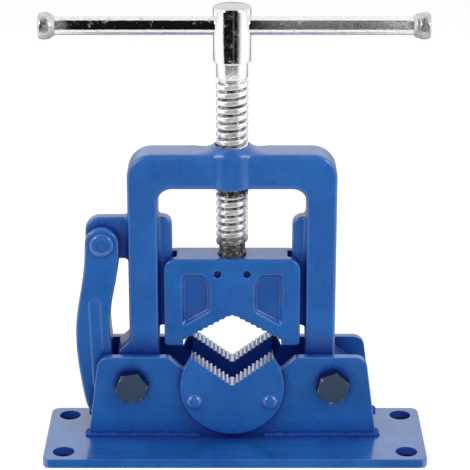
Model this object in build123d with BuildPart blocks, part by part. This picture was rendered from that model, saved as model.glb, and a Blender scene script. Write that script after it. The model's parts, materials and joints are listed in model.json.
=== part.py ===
from build123d import *
import math
import os

os.makedirs("parts", exist_ok=True)

# Place of the vise body on its base plate
# The origin is the centre of the base plate's underside, with +Z up and +Y to the rear.
body_x = -2.0

# Base plate
base_end_apron = 32.0
base_rear_apron = 2.75
base_depth = 87.5
base_thickness = 6.5
base_corner_radius = 6.0
base_edge_chamfer = 0.8
bench_hole_diameter = 15.0
bench_hole_end_margin = 14.0
bench_hole_side_margin = 13.25

# Cheek plates
cheek_thickness = 6.0
cheek_gap = 33.0
cheek_above_bolt = 20.5
cheek_beyond_bolt = 31.5
cheek_end_slant = 8.0
cheek_corner_radius = 8.5
cheek_dip_margin = 8.0
cheek_dip_drop = 10.5
cheek_dip_angle = 42.0
cheek_edge_chamfer = 0.5

# Weld beads
front_weld_leg = 3.5
rear_weld_leg = 2.2
weld_end_margin = 2.0
weld_under_disc = 13.0
weld_bulge_share = 0.18

# Hinge bolt and latch bolt
bolt_diameter = 14.0
bolt_tip_reach = 4.7
bolt_across_flats = 21.0
bolt_head_height = 8.8
bolt_hole_clearance = 0.25
bolt_tip_chamfer = 1.2
hinge_head_turn = 22.0
latch_head_turn = 9.0
hex_sides = 6
hex_chamfer_angle = 30.0
nut_height = 12.8
nut_thread_clearance = 0.05
washer_diameter = 28.0
washer_thickness = 2.5
washer_bore_clearance = 0.5
sleeve_wall = 2.0
sleeve_bore_clearance = 0.2
sleeve_end_chamfer = 0.6

# Lower jaws
lower_jaw_diameter = 74.0
lower_jaw_base_gap = 3.0
lower_jaw_proud = 6.0
lower_jaw_face_clearance = 0.5
lower_v_rise = 2.1
lower_v_angle = 36.4
lower_tooth_pitch = 3.6
lower_tooth_undercut = 0.45
lower_boss_clearance = 0.3
lower_jaw_edge_radius = 1.5

# Share of a tooth's pitch that its steep flank takes
tooth_lead_share = 0.32

# Rivets of the lower jaws
rivet_diameter = 6.5
rivet_edge_margin = 10.0
rivet_drop = 11.3
rivet_head_diameter = 11.8
rivet_head_height = 3.0
rivet_tail_diameter = 10.0
rivet_tail_height = 1.6
rivet_hole_clearance = 0.1

# Yoke frame
yoke_jaw_gap = 3.8
yoke_leg_width = 21.2
yoke_side_gap = 3.0
yoke_height = 167.8
yoke_bridge_thickness = 25.4
yoke_outer_radius = 17.3
yoke_inner_radius = 9.7
yoke_edge_radius = 2.8
foot_flare = 8.3
foot_beyond_sleeve = 0.9
latch_foot_top_height = 22.0
hinge_foot_top_height = 10.0
hinge_boss_wall = 6.0
hinge_side_clearance = 0.5
hinge_running_clearance = 0.06
latch_seat_clearance = 0.3
latch_seat_angle = 45.0

# Screw boss of the yoke
screw_boss_wall = 6.45
screw_boss_rise = 4.6
screw_boss_slope = 48.0
screw_bore_clearance = 0.25

# Guide rails of the yoke
rail_reach = 9.6
rail_thickness = 11.6
rail_height = 120.0
rail_foot_rise = 38.5
rail_corner_radius = 7.0

# Hook lug of the yoke
lug_thickness = 9.0
lug_above_pivot = 18.0
lug_below_pivot = 13.0
lug_end_radius = 12.0
lug_corner_radius = 10.5
hook_pivot_out = 18.2
hook_pivot_rise = 101.5

# Latch hook
hook_side_clearance = 0.3
hook_ear_thickness = 8.0
hook_head_radius = 12.2
hook_slot_gap = 0.4
hook_foot_gap = 3.4
hook_nose_slack = 3.6
hook_nose_overlap = 3.5
hook_nose_thickness = 19.6
hook_inner_bow = 2.2
hook_belly_width = 26.1
hook_belly_rise = 41.5
hook_waist_width = 22.2
hook_waist_drop = 10.5
hook_heel_width = 16.6
hook_heel_drop = 27.0
hook_tip_radius = 3.0
hook_throat_radius = 8.0
hook_edge_radius = 2.0
hook_rib_width = 7.5
hook_rib_height = 1.5
hook_rib_drop = 43.5
hook_rib_length = 62.0
hook_rib_lean = 1.0
hook_rib_offset = 5.0

# Hook rivet
hook_rivet_diameter = 10.0
hook_rivet_clearance = 0.08
hook_rivet_head_diameter = 17.6
hook_rivet_head_height = 3.4
hook_rivet_dish_diameter = 11.0
hook_rivet_dish_depth = 1.2
hook_rivet_dish_angle = 45.0
hook_rivet_edge_radius = 1.4
hook_rivet_head_gap = 0.15

# Upper jaw
jaw_beyond_v = 13.1
jaw_height = 65.6
jaw_foot_rise = 25.5
jaw_corner_radius = 8.0
jaw_foot_radius = 3.0
jaw_edge_radius = 1.6
upper_v_half = 35.0
upper_v_angle = 29.0
upper_v_height = 23.3
upper_tooth_pitch = 5.1
upper_tooth_undercut = 0.5
rail_side_clearance = 0.4
rail_end_clearance = 3.0
pocket_depth = 2.5
pocket_inner = 15.0
pocket_side_margin = 12.1
pocket_top_drop = 11.3
pocket_v_margin = 11.0
pocket_corner_radius = 3.0
pocket_cut_width = 4.5
pocket_cut_height = 8.0

# Screw seat in the upper jaw
seat_bore_clearance = 0.3
seat_depth = 25.6
pin_diameter = 5.0
pin_drop = 11.3
pin_recess = 3.5
pin_bite_share = 0.4
pin_hole_clearance = 0.05
thrust_pad_thickness = 3.0
thrust_pad_clearance = 0.3
thrust_gap = 0.3

# Feed screw
screw_diameter = 22.5
screw_pitch = 5.64
screw_thread_depth = 2.0
screw_crest_share = 0.40
screw_root_share = 0.62
thread_sink_share = 0.15
screw_neck_diameter = 22.2
screw_neck_length = 11.5
screw_head_diameter = 26.3
screw_head_height = 39.0
screw_head_chamfer = 1.8
screw_lower_chamfer = 1.0
screw_plain_diameter = 19.0
screw_plain_above_jaw = 4.0
screw_thread_length = 124.4
groove_pin_clearance = 0.3

# Tommy bar
bar_diameter = 12.5
bar_length = 267.0
bar_offset = 1.5
bar_hole_clearance = 0.1
bar_height_in_head = 24.9
bar_spigot_diameter = 8.0
bar_spigot_length = 12.0
bar_end_chamfer = 0.6
knob_diameter = 19.0
knob_length = 8.6
knob_cone_length = 4.0
knob_edge_radius = 1.2
knob_bore_clearance = 0.02

# Overrun that every through cut takes past the faces it cuts
overrun = 1.0

# Widths that the pieces share, from the upper V outwards
sleeve_diameter = bolt_diameter + 2 * sleeve_wall
jaw_half_width = upper_v_half + jaw_beyond_v
yoke_inner_half = jaw_half_width + yoke_jaw_gap
yoke_half_width = yoke_inner_half + yoke_leg_width
rail_inner_half = yoke_inner_half - rail_reach
foot_half_width = yoke_half_width + foot_flare
bolt_half_spacing = foot_half_width - foot_beyond_sleeve - sleeve_diameter / 2
cheek_foot_half = bolt_half_spacing + cheek_beyond_bolt
cheek_top_half = cheek_foot_half - cheek_end_slant
base_length = 2 * (cheek_foot_half + base_end_apron)
bench_hole_spacing_x = base_length - 2 * bench_hole_end_margin
hook_pivot_x = -(yoke_half_width + hook_pivot_out)

# Depths that the pieces share
bench_hole_spacing_y = base_depth - 2 * bench_hole_side_margin
body_y = base_depth / 2 - base_rear_apron - cheek_thickness - cheek_gap / 2
yoke_depth = cheek_gap - 2 * yoke_side_gap
jaw_depth = yoke_depth
bolt_length = 2 * cheek_thickness + cheek_gap + washer_thickness + nut_height + bolt_tip_reach
front_inner_y = body_y - cheek_gap / 2
rear_inner_y = body_y + cheek_gap / 2
front_outer_y = front_inner_y - cheek_thickness
rear_outer_y = rear_inner_y + cheek_thickness

# Heights that the pieces share
pivot_z = base_thickness + lower_jaw_base_gap + lower_jaw_diameter / 2
cheek_top_z = pivot_z + cheek_above_bolt
yoke_top_z = pivot_z + yoke_height
bridge_under_z = yoke_top_z - yoke_bridge_thickness
jaw_foot_z = pivot_z + jaw_foot_rise
jaw_top_z = jaw_foot_z + jaw_height
upper_apex_z = jaw_foot_z + upper_v_height
lower_apex_z = pivot_z + lower_v_rise
hook_pivot_z = pivot_z + hook_pivot_rise
seat_floor_z = jaw_top_z - seat_depth
pin_z = jaw_top_z - pin_drop
screw_tip_z = seat_floor_z + thrust_pad_thickness + thrust_gap
thread_start_z = jaw_top_z + screw_plain_above_jaw
neck_start_z = thread_start_z + screw_thread_length
head_start_z = neck_start_z + screw_neck_length
bar_z = head_start_z + bar_height_in_head


def upright(y):
    """Plane that faces the front at depth y, with local X to the right and local Y up."""
    return Plane(origin=(body_x, y, 0), x_dir=(1, 0, 0), z_dir=(0, -1, 0))


def toothed_v(half_width, angle, apex_z, pitch, undercut, side):
    """Points of a toothed V from its left end to its right end.

    side is 1 where the V opens upwards, on a lower jaw, and -1 where it opens downwards.
    """
    slope = side * math.tan(math.radians(angle))
    count = max(2, round(half_width / math.cos(math.radians(angle)) / pitch))
    step = half_width / count
    right = [(0.0, apex_z)]
    for tooth in range(count):
        root_z = apex_z + slope * tooth * step
        tip_x = (tooth + 1) * step
        right.append((tip_x - tooth_lead_share * step, root_z - side * undercut))
        right.append((tip_x, apex_z + slope * tip_x))
    left = [(-x, z) for x, z in reversed(right[1:])]
    return left + right


def lathe_plane(x, y, z):
    """Plane through a turned piece whose axis runs along Y: local X is its radius, local Y its length."""
    return Plane(origin=(body_x + x, y, z), x_dir=(1, 0, 0), z_dir=(0, 0, 1))


def y_axis(x, y, z):
    """Axis along Y through a point of the vise body."""
    return Axis((body_x + x, y, z), (0, 1, 0))


# Base plate
with BuildPart() as base_plate:
    with BuildSketch():
        RectangleRounded(base_length, base_depth, base_corner_radius)
        with GridLocations(bench_hole_spacing_x, bench_hole_spacing_y, 2, 2):
            Circle(bench_hole_diameter / 2, mode=Mode.SUBTRACT)
    extrude(amount=base_thickness)
    chamfer(base_plate.faces().sort_by(Axis.Z)[-1].outer_wire().edges(), base_edge_chamfer)
base_plate.part.label = "base_plate"
export_step(base_plate.part, "parts/base_plate.step")


# Cheek plates, welded upright on the base plate
dip_slope = math.tan(math.radians(cheek_dip_angle))
disc_radius = lower_jaw_diameter / 2
cheek_dip_half = disc_radius + cheek_dip_margin
dip_floor_z = pivot_z - cheek_dip_drop
dip_floor_half = cheek_dip_half - (cheek_top_z - dip_floor_z) / dip_slope
bolt_points = [(-bolt_half_spacing, pivot_z), (bolt_half_spacing, pivot_z)]
rivet_half_spacing = disc_radius - rivet_edge_margin
rivet_z = pivot_z - rivet_drop
rivet_points = [(-rivet_half_spacing, rivet_z), (rivet_half_spacing, rivet_z)]


def cheek_profile():
    """Front view of a cheek plate, with its dip, bolt holes and rivet holes."""
    with BuildSketch() as profile:
        with BuildLine():
            Polyline(
                (-cheek_foot_half, base_thickness),
                (-cheek_top_half, cheek_top_z),
                (-cheek_dip_half, cheek_top_z),
                (-dip_floor_half, dip_floor_z),
                (dip_floor_half, dip_floor_z),
                (cheek_dip_half, cheek_top_z),
                (cheek_top_half, cheek_top_z),
                (cheek_foot_half, base_thickness),
                close=True,
            )
        make_face()
        top_corners = profile.vertices().group_by(Axis.Y)[-1].sort_by(Axis.X)
        fillet([top_corners[0], top_corners[-1]], cheek_corner_radius)
        with Locations(*bolt_points):
            Circle(bolt_diameter / 2 + bolt_hole_clearance, mode=Mode.SUBTRACT)
        with Locations(*rivet_points):
            Circle(rivet_diameter / 2 + rivet_hole_clearance, mode=Mode.SUBTRACT)
    return profile.sketch


with BuildPart() as front_cheek:
    with BuildSketch(upright(front_inner_y)):
        add(cheek_profile())
    extrude(amount=cheek_thickness)
    front_rim = front_cheek.faces().sort_by(Axis.Y)[0].outer_wire().edges()
    chamfer(front_rim.sort_by(Axis.Z)[1:], cheek_edge_chamfer)
front_cheek.part.label = "front_cheek"
export_step(front_cheek.part, "parts/front_cheek.step")

with BuildPart() as rear_cheek:
    with BuildSketch(upright(rear_outer_y)):
        add(cheek_profile())
    extrude(amount=cheek_thickness)
    rear_rim = rear_cheek.faces().sort_by(Axis.Y)[-1].outer_wire().edges()
    chamfer(rear_rim.sort_by(Axis.Z)[1:], cheek_edge_chamfer)
rear_cheek.part.label = "rear_cheek"
export_step(rear_cheek.part, "parts/rear_cheek.step")


# Weld beads along the foot of each cheek, left open under the jaw discs
weld_disc_margin = disc_radius - weld_under_disc
weld_length = cheek_foot_half - weld_end_margin - weld_disc_margin
weld_middle = weld_disc_margin + weld_length / 2


def weld_profile(leg):
    """Section of a fillet weld: a right corner closed by a bulging face."""
    bulge = leg / 2 + leg * weld_bulge_share
    with BuildSketch() as profile:
        with BuildLine():
            Polyline((0, leg), (0, 0), (leg, 0))
            ThreePointArc((leg, 0), (bulge, bulge), (0, leg))
        make_face()
    return profile.sketch


with BuildPart() as cheek_welds:
    for side in (-1, 1):
        weld_start = body_x + side * weld_middle - weld_length / 2
        front_foot = (weld_start, front_outer_y, base_thickness)
        with BuildSketch(Plane(origin=front_foot, x_dir=(0, -1, 0), z_dir=(-1, 0, 0))):
            add(weld_profile(front_weld_leg))
        extrude(amount=-weld_length)
        rear_foot = (weld_start, rear_outer_y, base_thickness)
        with BuildSketch(Plane(origin=rear_foot, x_dir=(0, 1, 0), z_dir=(1, 0, 0))):
            add(weld_profile(rear_weld_leg))
        extrude(amount=weld_length)
cheek_welds.part.label = "cheek_welds"
export_step(cheek_welds.part, "parts/cheek_welds.step")


# Lower jaws: round discs riveted on the cheeks, each with a toothed V that reaches through the dip
lower_slope = math.tan(math.radians(lower_v_angle))
v_a = 1 + lower_slope**2
v_b = 2 * lower_v_rise * lower_slope
v_c = lower_v_rise**2 - disc_radius**2
lower_v_half = (math.sqrt(v_b**2 - 4 * v_a * v_c) - v_b) / (2 * v_a)
lower_tip_z = lower_apex_z + lower_slope * lower_v_half
boss_lift = lower_boss_clearance / math.cos(math.radians(cheek_dip_angle))
boss_floor_z = dip_floor_z + lower_boss_clearance
boss_floor_half = cheek_dip_half - (cheek_top_z + boss_lift - boss_floor_z) / dip_slope
boss_side_z = cheek_top_z + boss_lift - (cheek_dip_half - lower_v_half) * dip_slope
boss_depth = cheek_thickness + (cheek_gap - jaw_depth) / 2 - lower_jaw_face_clearance
disc_face_y = front_outer_y - lower_jaw_proud

with BuildPart() as front_lower_jaw:
    with BuildSketch(upright(front_outer_y)):
        with Locations((0, pivot_z)):
            Circle(disc_radius)
    extrude(amount=lower_jaw_proud)
    fillet(front_lower_jaw.faces().sort_by(Axis.Y)[0].edges(), lower_jaw_edge_radius)
    with BuildSketch(upright(front_outer_y)):
        with BuildLine():
            Polyline(
                (-lower_v_half, boss_side_z),
                (-boss_floor_half, boss_floor_z),
                (boss_floor_half, boss_floor_z),
                (lower_v_half, boss_side_z),
                (lower_v_half, lower_tip_z),
                (-lower_v_half, lower_tip_z),
                close=True,
            )
        make_face()
    extrude(amount=-boss_depth)
    with BuildSketch(upright(disc_face_y - overrun)):
        with BuildLine():
            v_points = toothed_v(
                lower_v_half,
                lower_v_angle,
                lower_apex_z,
                lower_tooth_pitch,
                lower_tooth_undercut,
                1,
            )
            open_top_z = pivot_z + disc_radius + overrun
            Polyline(*v_points, (lower_v_half, open_top_z), (-lower_v_half, open_top_z), close=True)
        make_face()
    extrude(amount=-(lower_jaw_proud + boss_depth + 2 * overrun), mode=Mode.SUBTRACT)
    with BuildSketch(upright(disc_face_y - overrun)):
        with Locations(*rivet_points):
            Circle(rivet_diameter / 2 + rivet_hole_clearance)
    extrude(amount=-(lower_jaw_proud + 2 * overrun), mode=Mode.SUBTRACT)
front_lower_jaw.part.label = "front_lower_jaw"
export_step(front_lower_jaw.part, "parts/front_lower_jaw.step")

with BuildPart() as rear_lower_jaw:
    mirror(front_lower_jaw.part, about=Plane(origin=(0, body_y, 0), z_dir=(0, 1, 0)))
rear_lower_jaw.part.label = "rear_lower_jaw"
export_step(rear_lower_jaw.part, "parts/rear_lower_jaw.step")


# Rivets of the lower jaws: domed head outside, flat tail inside
rivet_grip = lower_jaw_proud + cheek_thickness
dome_share = math.sin(math.pi / 4)

with BuildPart() as lower_jaw_rivets:
    for rivet_x, rivet_height in rivet_points:
        with BuildSketch(lathe_plane(rivet_x, disc_face_y, rivet_height)):
            with BuildLine():
                dome = ThreePointArc(
                    (0, -rivet_head_height),
                    (dome_share * rivet_head_diameter / 2, -dome_share * rivet_head_height),
                    (rivet_head_diameter / 2, 0),
                )
                Polyline(
                    dome @ 1,
                    (rivet_diameter / 2, 0),
                    (rivet_diameter / 2, rivet_grip),
                    (rivet_tail_diameter / 2, rivet_grip),
                    (rivet_tail_diameter / 2, rivet_grip + rivet_tail_height),
                    (0, rivet_grip + rivet_tail_height),
                    dome @ 0,
                )
            make_face()
        revolve(axis=y_axis(rivet_x, disc_face_y, rivet_height))
    mirror(about=Plane(origin=(0, body_y, 0), z_dir=(0, 1, 0)))
lower_jaw_rivets.part.label = "lower_jaw_rivets"
export_step(lower_jaw_rivets.part, "parts/lower_jaw_rivets.step")


# Hinge bolt on the right and latch bolt on the left, with their nuts, washers and sleeves
hex_corner_radius = bolt_across_flats / 2 / math.cos(math.pi / hex_sides)
hex_chamfer_drop = (hex_corner_radius - bolt_across_flats / 2) * math.tan(math.radians(hex_chamfer_angle))
washer_face_y = rear_outer_y + washer_thickness
washer_bore_radius = bolt_diameter / 2 + washer_bore_clearance
sleeve_bore_radius = bolt_diameter / 2 + sleeve_bore_clearance


def hex_bolt(x, turn):
    """Hex bolt whose head bears on the front cheek."""
    with BuildPart() as bolt:
        with BuildSketch(upright(front_outer_y)):
            with Locations((x, pivot_z)):
                RegularPolygon(bolt_across_flats / 2, hex_sides, major_radius=False, rotation=turn)
        extrude(amount=bolt_head_height)
        with BuildSketch(lathe_plane(x, front_outer_y, pivot_z)):
            with BuildLine():
                Polyline(
                    (0, 0),
                    (hex_corner_radius, 0),
                    (hex_corner_radius, hex_chamfer_drop - bolt_head_height),
                    (bolt_across_flats / 2, -bolt_head_height),
                    (0, -bolt_head_height),
                    close=True,
                )
            make_face()
        revolve(axis=y_axis(x, front_outer_y, pivot_z), mode=Mode.INTERSECT)
        with BuildSketch(upright(front_outer_y)):
            with Locations((x, pivot_z)):
                Circle(bolt_diameter / 2)
        extrude(amount=-bolt_length)
        chamfer(bolt.edges().sort_by(Axis.Y)[-1], bolt_tip_chamfer)
    return bolt.part


def hex_nut(x, turn):
    """Hex nut on the washer behind the rear cheek."""
    with BuildPart() as nut:
        with BuildSketch(upright(washer_face_y)):
            with Locations((x, pivot_z)):
                RegularPolygon(bolt_across_flats / 2, hex_sides, major_radius=False, rotation=turn)
        extrude(amount=-nut_height)
        with BuildSketch(lathe_plane(x, washer_face_y, pivot_z)):
            with BuildLine():
                Polyline(
                    (0, 0),
                    (bolt_across_flats / 2, 0),
                    (hex_corner_radius, hex_chamfer_drop),
                    (hex_corner_radius, nut_height - hex_chamfer_drop),
                    (bolt_across_flats / 2, nut_height),
                    (0, nut_height),
                    close=True,
                )
            make_face()
        revolve(axis=y_axis(x, washer_face_y, pivot_z), mode=Mode.INTERSECT)
        with BuildSketch(upright(washer_face_y)):
            with Locations((x, pivot_z)):
                Circle(bolt_diameter / 2 + nut_thread_clearance)
        extrude(amount=-nut_height, mode=Mode.SUBTRACT)
    return nut.part


def ring(x, y, length, outer_radius, bore_radius):
    """Round ring or tube along Y that starts at depth y."""
    with BuildPart() as tube:
        with BuildSketch(upright(y)):
            with Locations((x, pivot_z)):
                Circle(outer_radius)
                Circle(bore_radius, mode=Mode.SUBTRACT)
        extrude(amount=-length)
        rims = tube.edges().filter_by(GeomType.CIRCLE).group_by(SortBy.RADIUS)[-1]
        chamfer(rims, sleeve_end_chamfer)
    return tube.part


for name, bolt_x, turn in (
    ("hinge", bolt_half_spacing, hinge_head_turn),
    ("latch", -bolt_half_spacing, latch_head_turn),
):
    pieces = {
        "bolt": hex_bolt(bolt_x, turn),
        "nut": hex_nut(bolt_x, turn),
        "washer": ring(bolt_x, rear_outer_y, washer_thickness, washer_diameter / 2, washer_bore_radius),
        "sleeve": ring(bolt_x, front_inner_y, cheek_gap, sleeve_diameter / 2, sleeve_bore_radius),
    }
    for kind, piece in pieces.items():
        piece.label = f"{name}_{kind}"
        export_step(piece, f"parts/{name}_{kind}.step")


# Yoke frame: an inverted U with feet, screw boss, guide rails and hook lug
latch_shoulder_z = pivot_z + latch_foot_top_height
hinge_shoulder_z = pivot_z + hinge_foot_top_height
hinge_boss_radius = sleeve_diameter / 2 + hinge_boss_wall
hinge_toe = hinge_boss_radius * math.sin(math.pi / 4)
seat_radius = sleeve_diameter / 2 + latch_seat_clearance
seat_lip_z = pivot_z + seat_radius * math.sin(math.radians(latch_seat_angle))
leg_middle = yoke_inner_half + yoke_leg_width / 2
screw_boss_radius = screw_diameter / 2 + screw_boss_wall
screw_boss_top_z = yoke_top_z + screw_boss_rise

with BuildPart() as yoke_frame:
    with BuildSketch(upright(body_y + yoke_depth / 2)) as yoke_outline:
        with BuildLine():
            Polyline(
                (-foot_half_width, pivot_z),
                (-foot_half_width, latch_shoulder_z),
                (-yoke_half_width, latch_shoulder_z + foot_flare),
                (-yoke_half_width, yoke_top_z),
                (yoke_half_width, yoke_top_z),
                (yoke_half_width, hinge_shoulder_z + foot_flare),
                (foot_half_width, hinge_shoulder_z),
                (foot_half_width, pivot_z),
                (yoke_inner_half, pivot_z),
                (yoke_inner_half, bridge_under_z),
                (-yoke_inner_half, bridge_under_z),
                (-yoke_inner_half, pivot_z),
                close=True,
            )
        make_face()
        fillet(yoke_outline.vertices().group_by(Axis.Y)[-1], yoke_outer_radius)
        under_bridge = yoke_outline.vertices().filter_by(lambda v: abs(v.Y - bridge_under_z) < overrun)
        fillet(under_bridge, yoke_inner_radius)
    extrude(amount=yoke_depth)
    fillet(yoke_frame.faces().filter_by(Axis.Y).edges(), yoke_edge_radius)

    with BuildSketch(Plane(origin=(body_x, body_y, bridge_under_z))):
        Circle(screw_boss_radius)
    extrude(amount=yoke_top_z - bridge_under_z)
    with BuildSketch(Plane(origin=(body_x, body_y, yoke_top_z))):
        Circle(screw_boss_radius)
    extrude(amount=screw_boss_rise, taper=screw_boss_slope)

    for side in (-1, 1):
        with BuildSketch(upright(body_y + rail_thickness / 2)) as rail_outline:
            with BuildLine():
                Polyline(
                    (side * leg_middle, pivot_z + rail_foot_rise),
                    (side * leg_middle, pivot_z + rail_height),
                    (side * rail_inner_half, pivot_z + rail_height),
                    (side * rail_inner_half, pivot_z + rail_foot_rise),
                    close=True,
                )
            make_face()
            inner_top = rail_outline.vertices().group_by(Axis.Y)[-1].sort_by(lambda v: abs(v.X))[0]
            fillet(inner_top, rail_corner_radius)
        extrude(amount=rail_thickness)

    with BuildSketch(upright(body_y + lug_thickness / 2)) as lug_outline:
        with BuildLine():
            Polyline(
                (-leg_middle, hook_pivot_z + lug_above_pivot),
                (hook_pivot_x - lug_end_radius, hook_pivot_z + lug_above_pivot),
                (hook_pivot_x - lug_end_radius, hook_pivot_z - lug_below_pivot),
                (-leg_middle, hook_pivot_z - lug_below_pivot),
                close=True,
            )
        make_face()
        fillet(lug_outline.vertices().group_by(Axis.X)[0], lug_corner_radius)
    extrude(amount=lug_thickness)

    with BuildSketch(upright(rear_inner_y - hinge_side_clearance)):
        with Locations((bolt_half_spacing, pivot_z)):
            Circle(hinge_boss_radius)
    extrude(amount=cheek_gap - 2 * hinge_side_clearance)
    with BuildSketch(upright(body_y + yoke_depth / 2)):
        with BuildLine():
            Polyline(
                (yoke_inner_half, pivot_z + hinge_boss_radius),
                (yoke_inner_half, pivot_z),
                (bolt_half_spacing - hinge_toe, pivot_z - hinge_toe),
                (bolt_half_spacing, pivot_z),
                (bolt_half_spacing, pivot_z + hinge_boss_radius),
                close=True,
            )
        make_face()
    extrude(amount=yoke_depth)

    with BuildSketch(upright(body_y + cheek_gap / 2)):
        with Locations((bolt_half_spacing, pivot_z)):
            Circle(sleeve_diameter / 2 + hinge_running_clearance)
        with Locations((-bolt_half_spacing, pivot_z)):
            Circle(seat_radius)
        with BuildLine():
            Polyline(
                (-bolt_half_spacing, pivot_z - overrun),
                (-foot_half_width - overrun, pivot_z - overrun),
                (-foot_half_width - overrun, seat_lip_z),
                (-bolt_half_spacing, seat_lip_z),
                close=True,
            )
        make_face()
    extrude(amount=cheek_gap, mode=Mode.SUBTRACT)
    with BuildSketch(Plane(origin=(body_x, body_y, bridge_under_z - overrun))):
        Circle(screw_diameter / 2 + screw_bore_clearance)
    extrude(amount=screw_boss_top_z - bridge_under_z + 2 * overrun, mode=Mode.SUBTRACT)
    with BuildSketch(upright(body_y + lug_thickness / 2 + overrun)):
        with Locations((hook_pivot_x, hook_pivot_z)):
            Circle(hook_rivet_diameter / 2)
    extrude(amount=lug_thickness + 2 * overrun, mode=Mode.SUBTRACT)
yoke_frame.part.label = "yoke_frame"
export_step(yoke_frame.part, "parts/yoke_frame.step")


# Latch hook: a forked head on the yoke's lug, and a nose under the latch sleeve
hook_half_depth = lug_thickness / 2 + hook_side_clearance + hook_ear_thickness
hook_slot_reach = math.hypot(lug_end_radius, lug_above_pivot) + hook_slot_gap
throat_x = -(foot_half_width + hook_foot_gap)
nose_top_z = pivot_z - sleeve_diameter / 2 - hook_nose_slack
nose_tip_x = hook_nose_overlap - bolt_half_spacing
nose_under_z = nose_top_z - hook_nose_thickness
belly_z = pivot_z + hook_belly_rise
waist_z = pivot_z - hook_waist_drop
hook_front_y = body_y - hook_half_depth

with BuildPart() as hook:
    with BuildSketch(upright(body_y + hook_half_depth)) as hook_outline:
        with BuildLine():
            head_arc = ThreePointArc(
                (hook_pivot_x + hook_head_radius, hook_pivot_z),
                (hook_pivot_x, hook_pivot_z + hook_head_radius),
                (hook_pivot_x - hook_head_radius, hook_pivot_z),
            )
            outer_bow = Spline(
                head_arc @ 1,
                (throat_x - hook_belly_width, belly_z),
                (throat_x - hook_waist_width, waist_z),
                (throat_x - hook_heel_width, pivot_z - hook_heel_drop),
                (throat_x, nose_under_z),
                tangents=((0, -1), (1, 0)),
            )
            Polyline(
                outer_bow @ 1,
                (nose_tip_x, nose_under_z),
                (nose_tip_x, nose_top_z),
                (throat_x, nose_top_z),
                (throat_x, pivot_z + hook_throat_radius),
            )
            Spline(
                (throat_x, pivot_z + hook_throat_radius),
                (throat_x - hook_inner_bow, belly_z),
                (hook_pivot_x + hook_head_radius, hook_pivot_z),
                tangents=((0, 1), (0, 1)),
            )
        make_face()
        corners = hook_outline.vertices()
        throat_corner = corners.sort_by(lambda v: abs(v.X - throat_x) + abs(v.Y - nose_top_z))[0]
        tip_corners = corners.filter_by(lambda v: abs(v.X - nose_tip_x) < overrun)
        fillet(throat_corner, hook_throat_radius)
        fillet(tip_corners, hook_tip_radius)
    extrude(amount=2 * hook_half_depth)
    fillet(hook.faces().filter_by(Axis.Y).edges(), hook_edge_radius)
    with BuildSketch(upright(hook_front_y)):
        rib_x = hook_pivot_x - hook_rib_offset
        rib_top = (rib_x - hook_rib_lean, hook_pivot_z - hook_rib_drop)
        rib_middle = (rib_x, hook_pivot_z - hook_rib_drop - hook_rib_length / 2)
        SlotCenterPoint(rib_middle, rib_top, hook_rib_width)
    extrude(amount=hook_rib_height)
    with BuildSketch(upright(body_y + lug_thickness / 2 + hook_side_clearance)):
        with Locations((hook_pivot_x, hook_pivot_z)):
            Circle(hook_slot_reach)
    extrude(amount=lug_thickness + 2 * hook_side_clearance, mode=Mode.SUBTRACT)
    with BuildSketch(upright(body_y + hook_half_depth + overrun)):
        with Locations((hook_pivot_x, hook_pivot_z)):
            Circle(hook_rivet_diameter / 2 + hook_rivet_clearance)
    extrude(amount=2 * (hook_half_depth + overrun), mode=Mode.SUBTRACT)
hook.part.label = "hook"
export_step(hook.part, "parts/hook.step")


# Hook rivet: fast in the lug, with a dished head outside each ear
rivet_half_length = hook_half_depth + hook_rivet_head_gap

with BuildPart() as hook_rivet:
    with BuildSketch(upright(body_y + rivet_half_length + hook_rivet_head_height)):
        with Locations((hook_pivot_x, hook_pivot_z)):
            Circle(hook_rivet_head_diameter / 2)
    extrude(amount=2 * (rivet_half_length + hook_rivet_head_height))
    with BuildSketch(upright(body_y + rivet_half_length)):
        with Locations((hook_pivot_x, hook_pivot_z)):
            Circle(hook_rivet_head_diameter / 2 + overrun)
            Circle(hook_rivet_diameter / 2, mode=Mode.SUBTRACT)
    extrude(amount=2 * rivet_half_length, mode=Mode.SUBTRACT)
    end_faces = hook_rivet.faces().sort_by(Axis.Y)
    fillet(end_faces[0].edges() + end_faces[-1].edges(), hook_rivet_edge_radius)
    with BuildSketch(upright(body_y - rivet_half_length - hook_rivet_head_height)):
        with Locations((hook_pivot_x, hook_pivot_z)):
            Circle(hook_rivet_dish_diameter / 2)
    extrude(amount=-hook_rivet_dish_depth, taper=hook_rivet_dish_angle, mode=Mode.SUBTRACT)
hook_rivet.part.label = "hook_rivet"
export_step(hook_rivet.part, "parts/hook_rivet.step")


# Upper jaw: a V block that slides on the yoke's rails
upper_slope = math.tan(math.radians(upper_v_angle))
pocket_outer = jaw_half_width - pocket_side_margin
slot_floor_half = rail_inner_half - rail_end_clearance
slot_width = rail_thickness + 2 * rail_side_clearance
groove_radius = screw_plain_diameter / 2 - pin_diameter * pin_bite_share
pin_x = groove_radius + groove_pin_clearance + pin_diameter / 2
seat_radius_in_jaw = screw_plain_diameter / 2 + seat_bore_clearance

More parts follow.
